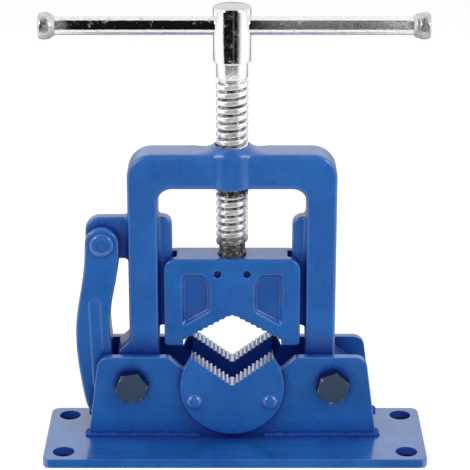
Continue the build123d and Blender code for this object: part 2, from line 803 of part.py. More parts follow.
with BuildPart() as upper_jaw:
    with BuildSketch(upright(body_y + jaw_depth / 2)) as jaw_outline:
        with BuildLine():
            Polyline(
                (-jaw_half_width, jaw_foot_z),
                (-jaw_half_width, jaw_top_z),
                (jaw_half_width, jaw_top_z),
                (jaw_half_width, jaw_foot_z),
                close=True,
            )
        make_face()
        fillet(jaw_outline.vertices().group_by(Axis.Y)[-1], jaw_corner_radius)
        fillet(jaw_outline.vertices().group_by(Axis.Y)[0], jaw_foot_radius)
    extrude(amount=jaw_depth)
    fillet(upper_jaw.faces().filter_by(Axis.Y).edges(), jaw_edge_radius)
    with BuildSketch(upright(body_y + jaw_depth / 2 + overrun)):
        with BuildLine():
            v_points = toothed_v(
                upper_v_half,
                upper_v_angle,
                upper_apex_z,
                upper_tooth_pitch,
                upper_tooth_undercut,
                -1,
            )
            v_foot_z = jaw_foot_z - overrun
            Polyline(*v_points, (upper_v_half, v_foot_z), (-upper_v_half, v_foot_z), close=True)
        make_face()
    extrude(amount=jaw_depth + 2 * overrun, mode=Mode.SUBTRACT)
    with BuildSketch(upright(body_y + slot_width / 2)):
        for side in (-1, 1):
            with BuildLine():
                Polyline(
                    (side * slot_floor_half, jaw_foot_z - overrun),
                    (side * (jaw_half_width + overrun), jaw_foot_z - overrun),
                    (side * (jaw_half_width + overrun), jaw_top_z + overrun),
                    (side * slot_floor_half, jaw_top_z + overrun),
                    close=True,
                )
            make_face()
    extrude(amount=slot_width, mode=Mode.SUBTRACT)
    for face_y, way in ((body_y - jaw_depth / 2, -1), (body_y + jaw_depth / 2, 1)):
        with BuildSketch(upright(face_y)) as pockets:
            for side in (-1, 1):
                with BuildLine():
                    Polyline(
                        (side * pocket_inner, jaw_top_z - pocket_top_drop - pocket_cut_height),
                        (side * (pocket_inner + pocket_cut_width), jaw_top_z - pocket_top_drop),
                        (side * pocket_outer, jaw_top_z - pocket_top_drop),
                        (side * pocket_outer, upper_apex_z - upper_slope * pocket_outer + pocket_v_margin),
                        (side * pocket_inner, upper_apex_z - upper_slope * pocket_inner + pocket_v_margin),
                        close=True,
                    )
                make_face()
            fillet(pockets.vertices(), pocket_corner_radius)
        extrude(amount=way * pocket_depth, mode=Mode.SUBTRACT)
    with BuildSketch(Plane(origin=(body_x, body_y, seat_floor_z))):
        Circle(seat_radius_in_jaw)
    extrude(amount=seat_depth + overrun, mode=Mode.SUBTRACT)
    with BuildSketch(upright(body_y + jaw_depth / 2 + overrun)):
        with Locations((-pin_x, pin_z), (pin_x, pin_z)):
            Circle(pin_diameter / 2 + pin_hole_clearance)
    extrude(amount=jaw_depth + 2 * overrun, mode=Mode.SUBTRACT)
upper_jaw.part.label = "upper_jaw"
export_step(upper_jaw.part, "parts/upper_jaw.step")


# Retaining pins, one on each side of the screw's groove
pin_half_length = jaw_depth / 2 - pin_recess

with BuildPart() as jaw_pins:
    with BuildSketch(upright(body_y + pin_half_length)):
        with Locations((-pin_x, pin_z), (pin_x, pin_z)):
            Circle(pin_diameter / 2)
    extrude(amount=2 * pin_half_length)
jaw_pins.part.label = "jaw_pins"
export_step(jaw_pins.part, "parts/jaw_pins.step")


# Thrust pad that the end of the screw bears on
with BuildPart() as thrust_pad:
    with BuildSketch(Plane(origin=(body_x, body_y, seat_floor_z))):
        Circle(seat_radius_in_jaw - thrust_pad_clearance)
    extrude(amount=thrust_pad_thickness)
thrust_pad.part.label = "thrust_pad"
export_step(thrust_pad.part, "parts/thrust_pad.step")


# Feed screw: plain end with a groove, coarse thread, neck and head with a cross hole
thread_core_radius = screw_diameter / 2 - screw_thread_depth
groove_half = pin_diameter / 2 + groove_pin_clearance
head_top_z = head_start_z + screw_head_height
root_half = screw_pitch * screw_root_share / 2
crest_half = screw_pitch * screw_crest_share / 2
thread_sink = screw_thread_depth * thread_sink_share
ridge_turns_length = screw_thread_length - screw_pitch


def across(x):
    """Plane across the tommy bar at x, facing +X."""
    return Plane(origin=(x, body_y, bar_z), x_dir=(0, 1, 0), z_dir=(1, 0, 0))


with BuildPart() as feed_screw:
    with BuildSketch(upright(body_y)):
        with BuildLine():
            Polyline(
                (0, screw_tip_z),
                (screw_plain_diameter / 2 - screw_lower_chamfer, screw_tip_z),
                (screw_plain_diameter / 2, screw_tip_z + screw_lower_chamfer),
                (screw_plain_diameter / 2, pin_z - groove_half),
                (groove_radius, pin_z - groove_half),
                (groove_radius, pin_z + groove_half),
                (screw_plain_diameter / 2, pin_z + groove_half),
                (screw_plain_diameter / 2, thread_start_z),
                (thread_core_radius, thread_start_z),
                (thread_core_radius, neck_start_z),
                (screw_neck_diameter / 2, neck_start_z),
                (screw_neck_diameter / 2, head_start_z),
                (screw_head_diameter / 2 - screw_head_chamfer, head_start_z),
                (screw_head_diameter / 2, head_start_z + screw_head_chamfer),
                (screw_head_diameter / 2, head_top_z - screw_head_chamfer),
                (screw_head_diameter / 2 - screw_head_chamfer, head_top_z),
                (0, head_top_z),
                close=True,
            )
        make_face()
    revolve(axis=Axis((body_x, body_y, 0), (0, 0, 1)))
    with BuildLine(Plane(origin=(body_x, body_y, thread_start_z + screw_pitch / 2))):
        Helix(screw_pitch, ridge_turns_length, thread_core_radius)
    with BuildSketch(upright(body_y)):
        with BuildLine():
            Polyline(
                (thread_core_radius - thread_sink, thread_start_z + screw_pitch / 2 - root_half),
                (screw_diameter / 2, thread_start_z + screw_pitch / 2 - crest_half),
                (screw_diameter / 2, thread_start_z + screw_pitch / 2 + crest_half),
                (thread_core_radius - thread_sink, thread_start_z + screw_pitch / 2 + root_half),
                close=True,
            )
        make_face()
    sweep(is_frenet=True)
    with BuildSketch(across(body_x - screw_head_diameter)):
        Circle(bar_diameter / 2 + bar_hole_clearance)
    extrude(amount=2 * screw_head_diameter, mode=Mode.SUBTRACT)
feed_screw.part.label = "feed_screw"
export_step(feed_screw.part, "parts/feed_screw.step")


# Tommy bar with a flared knob riveted on each end
knob_reach = knob_length + knob_cone_length
rod_length = bar_length - 2 * knob_reach
bar_x = body_x + bar_offset

with BuildPart() as tommy_bar:
    with BuildSketch(across(bar_x - rod_length / 2)):
        Circle(bar_diameter / 2)
    extrude(amount=rod_length)
    with BuildSketch(across(bar_x - rod_length / 2 - bar_spigot_length)):
        Circle(bar_spigot_diameter / 2)
    extrude(amount=rod_length + 2 * bar_spigot_length)
    end_faces = tommy_bar.faces().sort_by(Axis.X)
    chamfer(end_faces[0].edges() + end_faces[-1].edges(), bar_end_chamfer)
tommy_bar.part.label = "tommy_bar"
export_step(tommy_bar.part, "parts/tommy_bar.step")

for name, side in (("bar_knob_left", -1), ("bar_knob_right", 1)):
    knob_start = bar_x + side * rod_length / 2
    with BuildPart() as knob:
        knob_axis = Axis((knob_start, body_y, bar_z), (1, 0, 0))
        with BuildSketch(Plane(origin=knob_axis.position, x_dir=(side, 0, 0), z_dir=(0, -side, 0))):
            with BuildLine():
                Polyline(
                    (0, bar_spigot_diameter / 2 + knob_bore_clearance),
                    (0, bar_diameter / 2),
                    (knob_cone_length, knob_diameter / 2),
                    (knob_reach, knob_diameter / 2),
                    (knob_reach, bar_spigot_diameter / 2 + knob_bore_clearance),
                    close=True,
                )
            make_face()
        revolve(axis=knob_axis)
        rims = knob.edges().filter_by(GeomType.CIRCLE).group_by(SortBy.RADIUS)[-1]
        fillet(rims.sort_by(Axis.X)[0 if side < 0 else -1], knob_edge_radius)
    knob.part.label = name
    export_step(knob.part, f"parts/{name}.step")
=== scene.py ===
import bpy
import bmesh
import json
import math
import random
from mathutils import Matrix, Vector


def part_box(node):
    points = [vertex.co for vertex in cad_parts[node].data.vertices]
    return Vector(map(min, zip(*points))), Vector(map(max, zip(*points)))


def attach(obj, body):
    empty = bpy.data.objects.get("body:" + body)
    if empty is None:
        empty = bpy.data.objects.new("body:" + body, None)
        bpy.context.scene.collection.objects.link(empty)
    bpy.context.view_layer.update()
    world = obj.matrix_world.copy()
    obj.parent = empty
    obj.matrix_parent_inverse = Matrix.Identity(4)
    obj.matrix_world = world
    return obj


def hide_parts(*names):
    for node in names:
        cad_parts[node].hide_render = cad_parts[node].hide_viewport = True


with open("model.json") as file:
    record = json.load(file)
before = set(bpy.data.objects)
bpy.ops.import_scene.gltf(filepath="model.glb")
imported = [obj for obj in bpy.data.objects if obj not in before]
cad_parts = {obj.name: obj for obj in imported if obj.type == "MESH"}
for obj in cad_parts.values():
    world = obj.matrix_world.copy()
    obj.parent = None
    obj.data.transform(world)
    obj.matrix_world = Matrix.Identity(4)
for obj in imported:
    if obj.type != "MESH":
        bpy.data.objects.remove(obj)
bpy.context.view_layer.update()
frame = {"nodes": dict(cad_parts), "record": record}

cad = frame["nodes"]
scene = bpy.context.scene
scene.view_settings.view_transform = "Standard"
print("frame loaded,", len(cad), "cad nodes")

# where the vise body stands, in metres
axisX = -0.002
axisY = 0.0185
pivotZ = 0.0465


# Camera

cameraSetup = {
    "location": (0.0, -1.31283, 0.63107),
    "pitchDown": 19.816,
    "lens": 153.82,
    "sensor": 36.0,
    "clipStart": 0.05,
    "clipEnd": 50.0,
}


def addCamera(setup):
    data = bpy.data.cameras.new("viewCamera")
    data.lens = setup["lens"]
    data.sensor_width = setup["sensor"]
    data.clip_start = setup["clipStart"]
    data.clip_end = setup["clipEnd"]
    camera = bpy.data.objects.new("viewCamera", data)
    scene.collection.objects.link(camera)
    camera.location = setup["location"]
    camera.rotation_euler = (math.radians(90.0 - setup["pitchDown"]), 0.0, 0.0)
    scene.camera = camera


addCamera(cameraSetup)


# Node helpers: each works in the tree that its socket belongs to

def nodeBox(node):
    low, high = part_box(node)
    return Vector(low), Vector(high)


def emptyTree(owner):
    owner.use_nodes = True
    tree = owner.node_tree
    for node in list(tree.nodes):
        tree.nodes.remove(node)
    return tree


def addNode(tree, kind, **settings):
    node = tree.nodes.new("ShaderNode" + kind)
    for name, value in settings.items():
        setattr(node, name, value)
    return node


def fill(socket, value):
    # links a socket, or writes a number or a colour in it
    if isinstance(value, bpy.types.NodeSocket):
        socket.id_data.links.new(value, socket)
    elif isinstance(value, (tuple, list)):
        socket.default_value = (*value[:3], 1.0)
    else:
        socket.default_value = value


def fillAll(node, values):
    for name, value in values.items():
        fill(node.inputs[name], value)


def treeOf(*values):
    # the node tree of the first socket among some values
    return next(value.id_data for value in values if isinstance(value, bpy.types.NodeSocket))


def reckon(operation, *values):
    node = addNode(treeOf(*values), "Math", operation=operation)
    for socket, value in zip(node.inputs, values):
        fill(socket, value)
    return node.outputs[0]


def chain(operation, first, *others):
    for other in others:
        first = reckon(operation, first, other)
    return first


def times(*values):
    return chain("MULTIPLY", *values)


def most(*values):
    return chain("MAXIMUM", *values)


def plus(*values):
    return chain("ADD", *values)


def minus(*values):
    return chain("SUBTRACT", *values)


def distance(value, middle=0.0):
    return reckon("ABSOLUTE", minus(value, middle) if middle else value)


def radiusFrom(across, along):
    return reckon("SQRT", plus(times(across, across), times(along, along)))


def ramp(value, low, high, outLow=0.0, outHigh=1.0):
    # smooth step of a value between two limits
    node = addNode(treeOf(value), "MapRange", interpolation_type="SMOOTHSTEP")
    limits = {"From Min": low, "From Max": high, "To Min": outLow, "To Max": outHigh}
    fillAll(node, {"Value": value, **limits})
    return node.outputs["Result"]


def fall(value, low, high, full=1.0):
    return ramp(value, low, high, full, 0.0)


def rise(value, start, width, outLow=0.0, outHigh=1.0):
    return ramp(value, start, start + width, outLow, outHigh)


def drop(value, start, width, full=1.0):
    return fall(value, start, start + width, full)


def band(value, low, high, soft):
    # 1 between two limits, with a soft edge outside each
    return times(rise(value, low - soft, soft), drop(value, high, soft))


def mix(factor, first, second):
    node = addNode(treeOf(factor, first, second), "Mix", data_type="RGBA")
    for place, value in ((0, factor), (6, first), (7, second)):
        fill(node.inputs[place], value)
    return node.outputs[2]


def noise(place, scale, detail, roughness):
    node = addNode(treeOf(place), "TexNoise")
    fillAll(node, {"Vector": place, "Scale": scale, "Detail": detail, "Roughness": roughness})
    return node.outputs["Fac"]


def pattern(place, scale, detail, roughness, low, high, outLow=0.0, outHigh=1.0):
    return ramp(noise(place, scale, detail, roughness), low, high, outLow, outHigh)


def parts(vector):
    node = addNode(treeOf(vector), "SeparateXYZ")
    fill(node.inputs[0], vector)
    return node.outputs


def surface(place, name):
    # what the surface itself says, such as its normal
    return addNode(treeOf(place), "NewGeometry").outputs[name]


def stretched(place, share):
    # the place, drawn out along X
    node = addNode(treeOf(place), "Mapping")
    fill(node.inputs["Vector"], place)
    node.inputs["Scale"].default_value = (share, 1.0, 1.0)
    return node.outputs["Vector"]


def beyondPlate(place, insetX, insetY, softX, softY):
    # 1 outside a rectangle inset from the base plate's edges, with its own softness on each side
    across, along, up = parts(place)
    corner = nodeBox("base_plate")[1]
    return most(rise(distance(across), corner.x - insetX, softX),
                rise(distance(along), corner.y - insetY, softY))


# Studio: white surround, a dark room in front that only reflections see, soft lamps

studio = {
    "ambient": 0.62,          # what the surround gives to plain surfaces
    "surround": 1.0,          # what gloss and the camera see
    "room": 0.006,
    "rearLow": 0.42,          # behind the object, under the horizon
    "sideGlow": 1.15,         # on both sides, under the horizon
    "leftEdge": -50.0,        # the dark room's edges, in degrees
    "rightEdge": 28.0,
    "leftSoft": 8.0,
    "rightSoft": 38.0,
    "roomLow": -38.0,
    "roomHigh": 84.0,
    "roomEdge": 4.0,
    "streak": 9.0,            # a pale gap in the dark room
    "streakHalf": 4.0,
    "streakShare": 0.16,
    "floorGlow": 0.36,
    "floorColour": 0.82,
    # painted shade: the floor under the base plate is dark
    "underShade": (0.01, 0.012, 0.02),
    "underInset": (0.002, 0.002, 0.001, 0.001),    # the painted shade under the base plate ends inside its edges
    "floorSize": 9.0,
    "floorDrop": 0.0002,
}


def darkRoom(azimuth, elevation, setup):
    # 1 where a direction points at the dark room in front of the object
    left = ramp(azimuth, setup["leftEdge"] - setup["leftSoft"], setup["leftEdge"])
    right = drop(azimuth, setup["rightEdge"], setup["rightSoft"])
    fromStreak = distance(azimuth, setup["streak"])
    streak = ramp(fromStreak, 0.0, setup["streakHalf"], 1.0 - setup["streakShare"], 1.0)
    soft = setup["roomEdge"]
    low = rise(elevation, setup["roomLow"] - soft, 2 * soft)
    high = drop(elevation, setup["roomHigh"] - soft, 2 * soft)
    return times(left, right, streak, low, high)


def background(tree, colour, strength=1.0):
    node = addNode(tree, "Background")
    fillAll(node, {"Color": colour, "Strength": strength})
    return node.outputs[0]


def blend(factor, first, second):
    # mixes two shaders
    node = addNode(treeOf(factor), "MixShader")
    for socket, value in zip(node.inputs, (factor, first, second)):
        fill(socket, value)
    return node.outputs[0]


def addWorld(setup):
    scene.world = bpy.data.worlds.new("studioWorld")
    tree = emptyTree(scene.world)
    sideways, forwards, upwards = parts(addNode(tree, "TexCoord").outputs["Generated"])
    elevation = reckon("DEGREES", reckon("ARCSINE", upwards))
    azimuth = reckon("DEGREES", reckon("ARCTAN2", sideways, times(forwards, -1.0)))
    keys = ("surround", "rearLow", "sideGlow", "room")
    white, rearLow, sideGlow, room = ([setup[key]] * 3 for key in keys)
    behind = times(ramp(forwards, 0.1, 0.5), fall(elevation, -2.0, 9.0))
    abreast = times(fall(elevation, -4.0, 4.0), ramp(distance(sideways), 0.55, 0.85))
    mirrored = mix(abreast, mix(behind, white, rearLow), sideGlow)
    mirrored = mix(darkRoom(azimuth, elevation, setup), mirrored, room)
    rays = addNode(tree, "LightPath").outputs
    plain = background(tree, (1.0, 1.0, 1.0), setup["ambient"])
    light = blend(rays["Is Glossy Ray"], plain, background(tree, mirrored))
    seen = background(tree, (1.0, 1.0, 1.0), setup["surround"])
    light = blend(most(rays["Is Camera Ray"], rays["Is Transmission Ray"]), light, seen)
    fill(addNode(tree, "OutputWorld").inputs["Surface"], light)


def addFloor(setup):
    bpy.ops.object.select_all(action="DESELECT")
    bpy.ops.mesh.primitive_plane_add(size=setup["floorSize"], location=(0.0, 0.0, -setup["floorDrop"]))
    floor = bpy.context.object
    floor.name = "studioFloor"
    bpy.ops.object.transform_apply(location=True, rotation=True, scale=True)
    material = bpy.data.materials.new("paleFloor")
    tree = emptyTree(material)
    # painted shade under the base plate, where the glow is off too
    uncovered = beyondPlate(addNode(tree, "TexCoord").outputs["Object"], *setup["underInset"])
    seen = addNode(tree, "LightPath").outputs["Is Camera Ray"]
    paper = addNode(tree, "BsdfDiffuse")
    fillAll(paper, {"Color": mix(uncovered, setup["underShade"], [setup["floorColour"]] * 3)})
    glow = addNode(tree, "Emission")
    fillAll(glow, {"Color": [setup["floorGlow"]] * 3, "Strength": times(uncovered, seen)})
    lit = addNode(tree, "AddShader")
    fill(lit.inputs[0], paper.outputs[0])
    fill(lit.inputs[1], glow.outputs[0])
    fill(addNode(tree, "OutputMaterial").inputs["Surface"], lit.outputs[0])
    floor.data.materials.append(material)
    floor.visible_glossy = False      # gloss sees the room that the world paints


lampAim = Vector((axisX, axisY, 0.12))
lamps = [
    {"name": "topLamp", "at": (0.15, -0.25, 1.5), "size": 1.2, "power": 6.0, "mirrored": False},
    {"name": "frontLamp", "at": (0.0, -1.7, 0.75), "size": 1.2, "power": 9.0, "mirrored": False},
    {"name": "leftLamp", "at": (-1.23, -0.86, 1.0), "size": 0.45, "power": 6.0, "mirrored": True},
    {"name": "rightLamp", "at": (1.23, -0.86, 1.0), "size": 0.45, "power": 6.0, "mirrored": True},
]


def addLamps(setups):
    for setup in setups:
        data = bpy.data.lights.new(setup["name"], "AREA")
        data.energy = setup["power"]
        data.size = setup["size"]
        lamp = bpy.data.objects.new(setup["name"], data)
        scene.collection.objects.link(lamp)
        lamp.location = setup["at"]
        lamp.rotation_euler = (lampAim - lamp.location).to_track_quat("-Z", "Y").to_euler()
        lamp.visible_glossy = setup["mirrored"]


addWorld(studio)
addFloor(studio)
addLamps(lamps)
print("studio ready")


# Finishes

def newFinish(name):
    material = bpy.data.materials.new(name)
    tree = emptyTree(material)
    shader = addNode(tree, "BsdfPrincipled")
    fill(addNode(tree, "OutputMaterial").inputs["Surface"], shader.outputs[0])
    return material, shader, addNode(tree, "TexCoord").outputs["Object"]


def addBump(shader, heights):
    # heights: a mask and its height in metres for each layer, one on another
    last = None
    for height, metres in heights:
        bump = addNode(shader.id_data, "Bump")
        fillAll(bump, {"Strength": 1.0, "Distance": metres, "Height": height})
        if last:
            fill(bump.inputs["Normal"], last)
        last = bump.outputs["Normal"]
    fill(shader.inputs["Normal"], last)


bluePaint = {
    "colour": (0.0085, 0.102, 0.372),
    "deep": (0.0065, 0.084, 0.325),
    "shade": (0.0045, 0.0190, 0.190),    # painted shade, for hollows, corners and shaded places
    "worn": (0.06, 0.18, 0.42),          # thin paint on proud edges
    "hole": (0.018, 0.055, 0.30),        # painted shade inside the bench holes
    "tooth": (0.64, 0.74, 0.90),         # bare steel on the lower teeth
    "toothGrain": (0.14, 0.22, 0.38),
    # painted shade: the paint in the tooth roots, darker than the rest
    "toothRootShade": (0.006, 0.030, 0.150),
    "clouds": (28.0, 4.0, 0.6, 0.38, 0.66),             # noise: scale, detail and roughness,
    "scuffs": (330.0, 6.0, 0.75, 0.40, 0.62, 0.25, 1.0),     # then its ramp's limits and values
    "specks": (900.0, 2.0, 0.5, 0.74, 0.80, 0.0, 0.3),
    "smears": (90.0, 5.0, 0.65, 0.3, 0.7),
    "waves": (120.0, 3.0, 0.55),
    "waveHeight": 0.00008,
    "peel": (420.0, 2.0, 0.5),
    "peelHeight": 0.00003,
    "grain": (700.0, 4.0, 0.7),
    "grainHeight": 0.00006,
    "hollowReach": 0.026,
    "cornerReach": 0.0075,
    "roughness": 0.30,
    "roughnessSpread": 0.12,
    "specular": 0.5,
    "coat": 0.75,
    "coatRoughness": 0.12,
    "coatIor": 1.5,
}

marks = {
    "innerFrom": 0.0015,                 # painted shade in the hollow between the cheeks and its discs
    "innerTo": 0.0365,
    "innerTop": 0.082,
    "innerHalf": 0.054,
    "pocketInner": 0.0145,               # the upper jaw's pockets
    "pocketOuter": 0.0365,
    "pocketLow": 0.0865,
    "pocketHigh": 0.1266,
    "pocketDepth": 0.0028,
    "pocketShade": 0.30,
    "legShadeFull": 0.071,               # the yoke's feet
    "legShadeNone": 0.086,
    "legShade": 0.62,
    "boltShadowLift": 0.0030,                # a painted shadow over each bolt head
    "boltShadowReach": 0.0130,
    "boltShadow": 0.85,
    "apronHalf": 0.104,                  # painted shade on the base before the cheeks
    "apronDraw": 0.08,
    "apronStreaks": (260.0, 4.0, 0.7, 0.3, 0.7, 0.10, 0.40),
    "sideInset": (0.0060, 0.0054, 0.0005, 0.0004),    # walls beyond it are the plate's own sides
    "vApex": 0.0486,                     # the lower V
    "vAngle": 36.4,
    "vDepth": 0.0010,
}


def ragged(place, scale, height):
    return times(noise(place, scale, 3.0, 0.6), height)


def shadeBetweenCheeks(place):
    # painted shade: dark between the cheeks, under their top and within the yoke's width
    across, along, up = parts(place)
    deep = band(along, marks["innerFrom"], marks["innerTo"], 0.0004)
    under = fall(up, marks["innerTop"] - 0.006, marks["innerTop"], 0.9)
    return times(deep, under, drop(distance(across, axisX), marks["innerHalf"], 0.012))


def legShade(place):
    # the feet of the legs, where they go down between the cheeks
    height = plus(parts(place)[2], ragged(place, 120.0, 0.006))
    return fall(height, marks["legShadeFull"], marks["legShadeNone"], marks["legShade"])


def pocketShade(place):
    # the floors of the upper jaw's pockets
    across, along, up = parts(place)
    low, high = nodeBox("upper_jaw")
    inside = band(distance(across, axisX), marks["pocketInner"], marks["pocketOuter"], 0.001)
    deep = band(along, low.y + marks["pocketDepth"], high.y - marks["pocketDepth"], 0.0013)
    upright = band(up, marks["pocketLow"], marks["pocketHigh"], 0.001)
    return times(inside, deep, upright, marks["pocketShade"])


def cheekShade(place):
    # painted shade in the hollow between the cheeks, and a painted shadow over each bolt head
    across, along, up = parts(place)
    mask, front, rough = shadeBetweenCheeks(place), fall(along, 0.0, 0.001), ragged(place, 210.0, 0.004)
    # painted shadow: dark paint just over each bolt head
    for node in ("latch_bolt", "hinge_bolt"):
        low, high = nodeBox(node)
        middle = (low + high) / 2
        away = plus(radiusFrom(minus(across, middle.x), minus(up, middle.z + marks["boltShadowLift"])), rough)
        near = fall(away, marks["boltShadowReach"] - 0.004, marks["boltShadowReach"] + 0.003, marks["boltShadow"])
        mask = most(mask, times(front, near))
    return mask


def apronShade(place):
    # painted shade: the middle of the base plate darker, and streaked along the cheeks
    across, along, up = parts(place)
    edge = plus(distance(across, axisX), times(noise(place, 160.0, 4.0, 0.7), 0.006))
    inside = drop(edge, marks["apronHalf"], 0.004)
    streaks = pattern(stretched(place, marks["apronDraw"]), *marks["apronStreaks"])
    return times(inside, ramp(up, 0.0054, 0.0060), streaks)


def plateSides(place):
    # 1 on the outer sides of the base plate, and 1 on the walls of its bench holes
    upright = fall(distance(parts(surface(place, "True Normal"))[2]), 0.55, 0.75)
    outer = beyondPlate(place, *marks["sideInset"])
    return times(upright, outer), times(upright, minus(1.0, outer))


def castEdges(place):
    # proud rounded edges of a cast piece
    return ramp(surface(place, "Pointiness"), 0.52, 0.57, 0.0, 0.30)


def cutEdges(place):
    # the narrow chamfers round a plate, which face neither along nor across it
    along = distance(parts(surface(place, "True Normal"))[1])
    return times(ramp(along, 0.50, 0.62), fall(along, 0.80, 0.92))


def lowerTeethBare(place):
    # bare metal down to a small depth under the line of the lower V
    across, along, up = parts(place)
    angle = math.radians(marks["vAngle"])
    lift = times(minus(up, marks["vApex"]), math.cos(angle))
    under = minus(times(distance(across, axisX), math.sin(angle)), lift)
    depth = plus(under, times(noise(place, 400.0, 4.0, 0.7), 0.0006))
    return fall(depth, marks["vDepth"] - 0.0002, marks["vDepth"] + 0.0002)


def openness(place, samples, reach):
    # 1 in the open, less in corners and hollows
    node = addNode(treeOf(place), "AmbientOcclusion", samples=samples)
    fillAll(node, {"Distance": reach})
    return node.outputs["AO"]


def paintFinish(name, changes, cast, bare=None, proud=None, dark=None, sides=None):
    # changes: what differs from the blue paint; cast: how rough the casting under it is
    # bare, proud, dark and sides: functions that mask metal, worn edges, painted shade and the plate's
    # sides
    setup = dict(bluePaint, **changes)
    material, shader, place = newFinish(name)
    colour = mix(pattern(place, *setup["clouds"]), setup["deep"], setup["colour"])
    # painted shade: the colour darkens towards the shade colour in hollows and corners
    hollows = ramp(openness(place, 8, setup["hollowReach"]), 0.24, 0.90)
    unshaded = times(hollows, ramp(openness(place, 6, setup["cornerReach"]), 0.35, 0.88, 0.35, 1.0))
    coat, specular = setup["coat"], setup["specular"]
    if sides:
        outer, inner = sides(place)
        unshaded = most(unshaded, times(outer, 0.94))
        coat = times(minus(1.0, inner), coat)
        specular = fall(inner, 0.0, 1.0, specular)
    colour = mix(unshaded, setup["shade"], colour)
    # painted shade where the dark mask says
    if dark:
        colour = mix(dark(place), colour, setup["shade"])
    if proud:
        colour = mix(times(proud(place), pattern(place, *setup["scuffs"])), colour, setup["worn"])
    colour = mix(pattern(place, *setup["specks"]), colour, setup["worn"])
    heights = [(noise(place, *setup["waves"]), setup["waveHeight"] * cast),
               (noise(place, *setup["peel"]), setup["peelHeight"])]
    if bare:
        grain = noise(place, *setup["grain"])
        # bare crests, and paint left in the roots between them, darkened as painted shade
        crest = ramp(surface(place, "Pointiness"), 0.47, 0.60)
        steel = mix(ramp(grain, 0.34, 0.56), setup["toothGrain"], setup["tooth"])
        metal = bare(place)
        colour = mix(metal, colour, mix(crest, setup["toothRootShade"], steel))
        fillAll(shader, {"Metallic": times(metal, crest, 0.85)})
        heights.append((grain, setup["grainHeight"]))
    # painted shade: the walls of the bench holes take the hole colour
    if sides:
        colour = mix(inner, colour, setup["hole"])
    middle, spread = setup["roughness"], setup["roughnessSpread"] / 2
    rough = pattern(place, *setup["smears"], middle - spread, middle + spread)
    fillAll(shader, {"Base Color": colour, "Roughness": rough, "Specular IOR Level": specular,
                     "Coat Weight": coat, "Coat Roughness": setup["coatRoughness"],
                     "Coat IOR": setup["coatIor"]})
    addBump(shader, heights)
    return material


plating = {
    "colour": (0.86, 0.86, 0.86),
    "dull": (0.42, 0.42, 0.43),
    "dark": (0.05, 0.05, 0.05),
    "roughness": 0.07,
    "dullRoughness": 0.52,
    "dullMetal": 0.72,
    "film": 0.24,
    "spots": (240.0, 6.0, 0.75),
    "patches": (60.0, 3.0, 0.6),
    "dents": (110.0, 3.0, 0.6),
    "dentHeight": 0.00010,
    "pits": (700.0, 3.0, 0.6, 0.3, 0.7),
    "pitHeight": 0.00002,
}


def platedFinish(name, setup, dullness, dust=None, grease=None):
    # dullness, dust and grease: functions that mask rough grey plating, a thin film and black grease
    material, shader, place = newFinish(name)
    spots = noise(place, *setup["spots"])
    dull = ramp(plus(spots, times(noise(place, *setup["patches"]), 0.35)), 0.72, 0.86, 0.0, 0.6)
    dull = most(dull, dullness(place, spots))
    colour = mix(dull, setup["colour"], setup["dull"])
    metal = ramp(dull, 0.25, 0.85, 1.0, setup["dullMetal"])
    if dust:
        metal = minus(metal, times(dust(place, spots), setup["film"]))
    if grease:
        colour = mix(grease(place, spots), colour, setup["dark"])
    rough = ramp(dull, 0.0, 1.0, setup["roughness"], setup["dullRoughness"])
    fillAll(shader, {"Metallic": metal, "Base Color": colour, "Roughness": rough})
    addBump(shader, [(noise(place, *setup["dents"]), setup["dentHeight"]),
                     (pattern(place, *setup["pits"]), setup["pitHeight"])])
    return material


barWear = {
    "dustFrom": 0.004,        # a film grows over the right half
    "dustTo": 0.040,
    "rightEndFrom": 0.085,
    "rightEndTo": 0.118,
    "leftEndFrom": -0.119,
    "leftEndTo": -0.111,
    "roughFrom": 0.118,       # from the middle, both ways
    "roughTo": 0.130,
    "underTo": 0.2978,
    "draw": 0.30,
    "streaks": (900.0, 4.0, 0.7, 0.35, 0.60, 0.35, 1.0),
}


def barDullness(place, spots):
    # the forged ends and the underside are rough
    across, along, up = parts(place)
    ends = ramp(distance(across, axisX), barWear["roughFrom"], barWear["roughTo"], 0.0, 0.6)
    return most(ends, fall(up, barWear["underTo"] - 0.0006, barWear["underTo"], 0.8))


def barDust(place, spots):
    # the right half and both ends are more handled than the left
    across = parts(place)[0]
    film = plus(ramp(across, barWear["dustFrom"], barWear["dustTo"], 0.0, 0.72),
                ramp(across, barWear["rightEndFrom"], barWear["rightEndTo"], 0.0, 0.75))
    film = most(film, fall(across, barWear["leftEndFrom"], barWear["leftEndTo"], 0.9))
    return times(film, pattern(stretched(place, barWear["draw"]), *barWear["streaks"]))


def knobDullness(place, spots):
    return ramp(spots, 0.36, 0.64, 0.34, 0.86)


screwWear = {
    "topFrom": 0.3156,        # heights on the screw
    "neckFrom": 0.2772,
    "threadFrom": 0.2660,
    "greaseFull": 0.147,
    "greaseNone": 0.158,
    "collarLow": 0.1818,
    "collarHigh": 0.1890,
    "blobLow": 0.2230,
    "blobHigh": 0.2380,
    "rootRadius": 0.0095,
    "crestRadius": 0.0105,
    "matt": 0.52,
    "blobs": (330.0, 3.0, 0.6, 0.52, 0.62),
    "smears": (420.0, 4.0, 0.7, 0.36, 0.56, 0.55, 0.98),
}


def screwDullness(place, spots):
    # the neck and the thread are duller than the head
    up = parts(place)[2]
    neck = rise(up, screwWear["threadFrom"], 0.0010, screwWear["matt"], 0.15)
    top = rise(up, screwWear["topFrom"], 0.0006, 0.0, 0.5)
    return times(most(neck, top), ramp(spots, 0.3, 0.65, 0.75, 1.0))


def screwDust(place, spots):
    # a film on the neck, and specks on the head
    neck = drop(parts(place)[2], screwWear["neckFrom"] - 0.0004, 0.0008)
    return most(neck, ramp(spots, 0.46, 0.66, 0.0, 0.25))


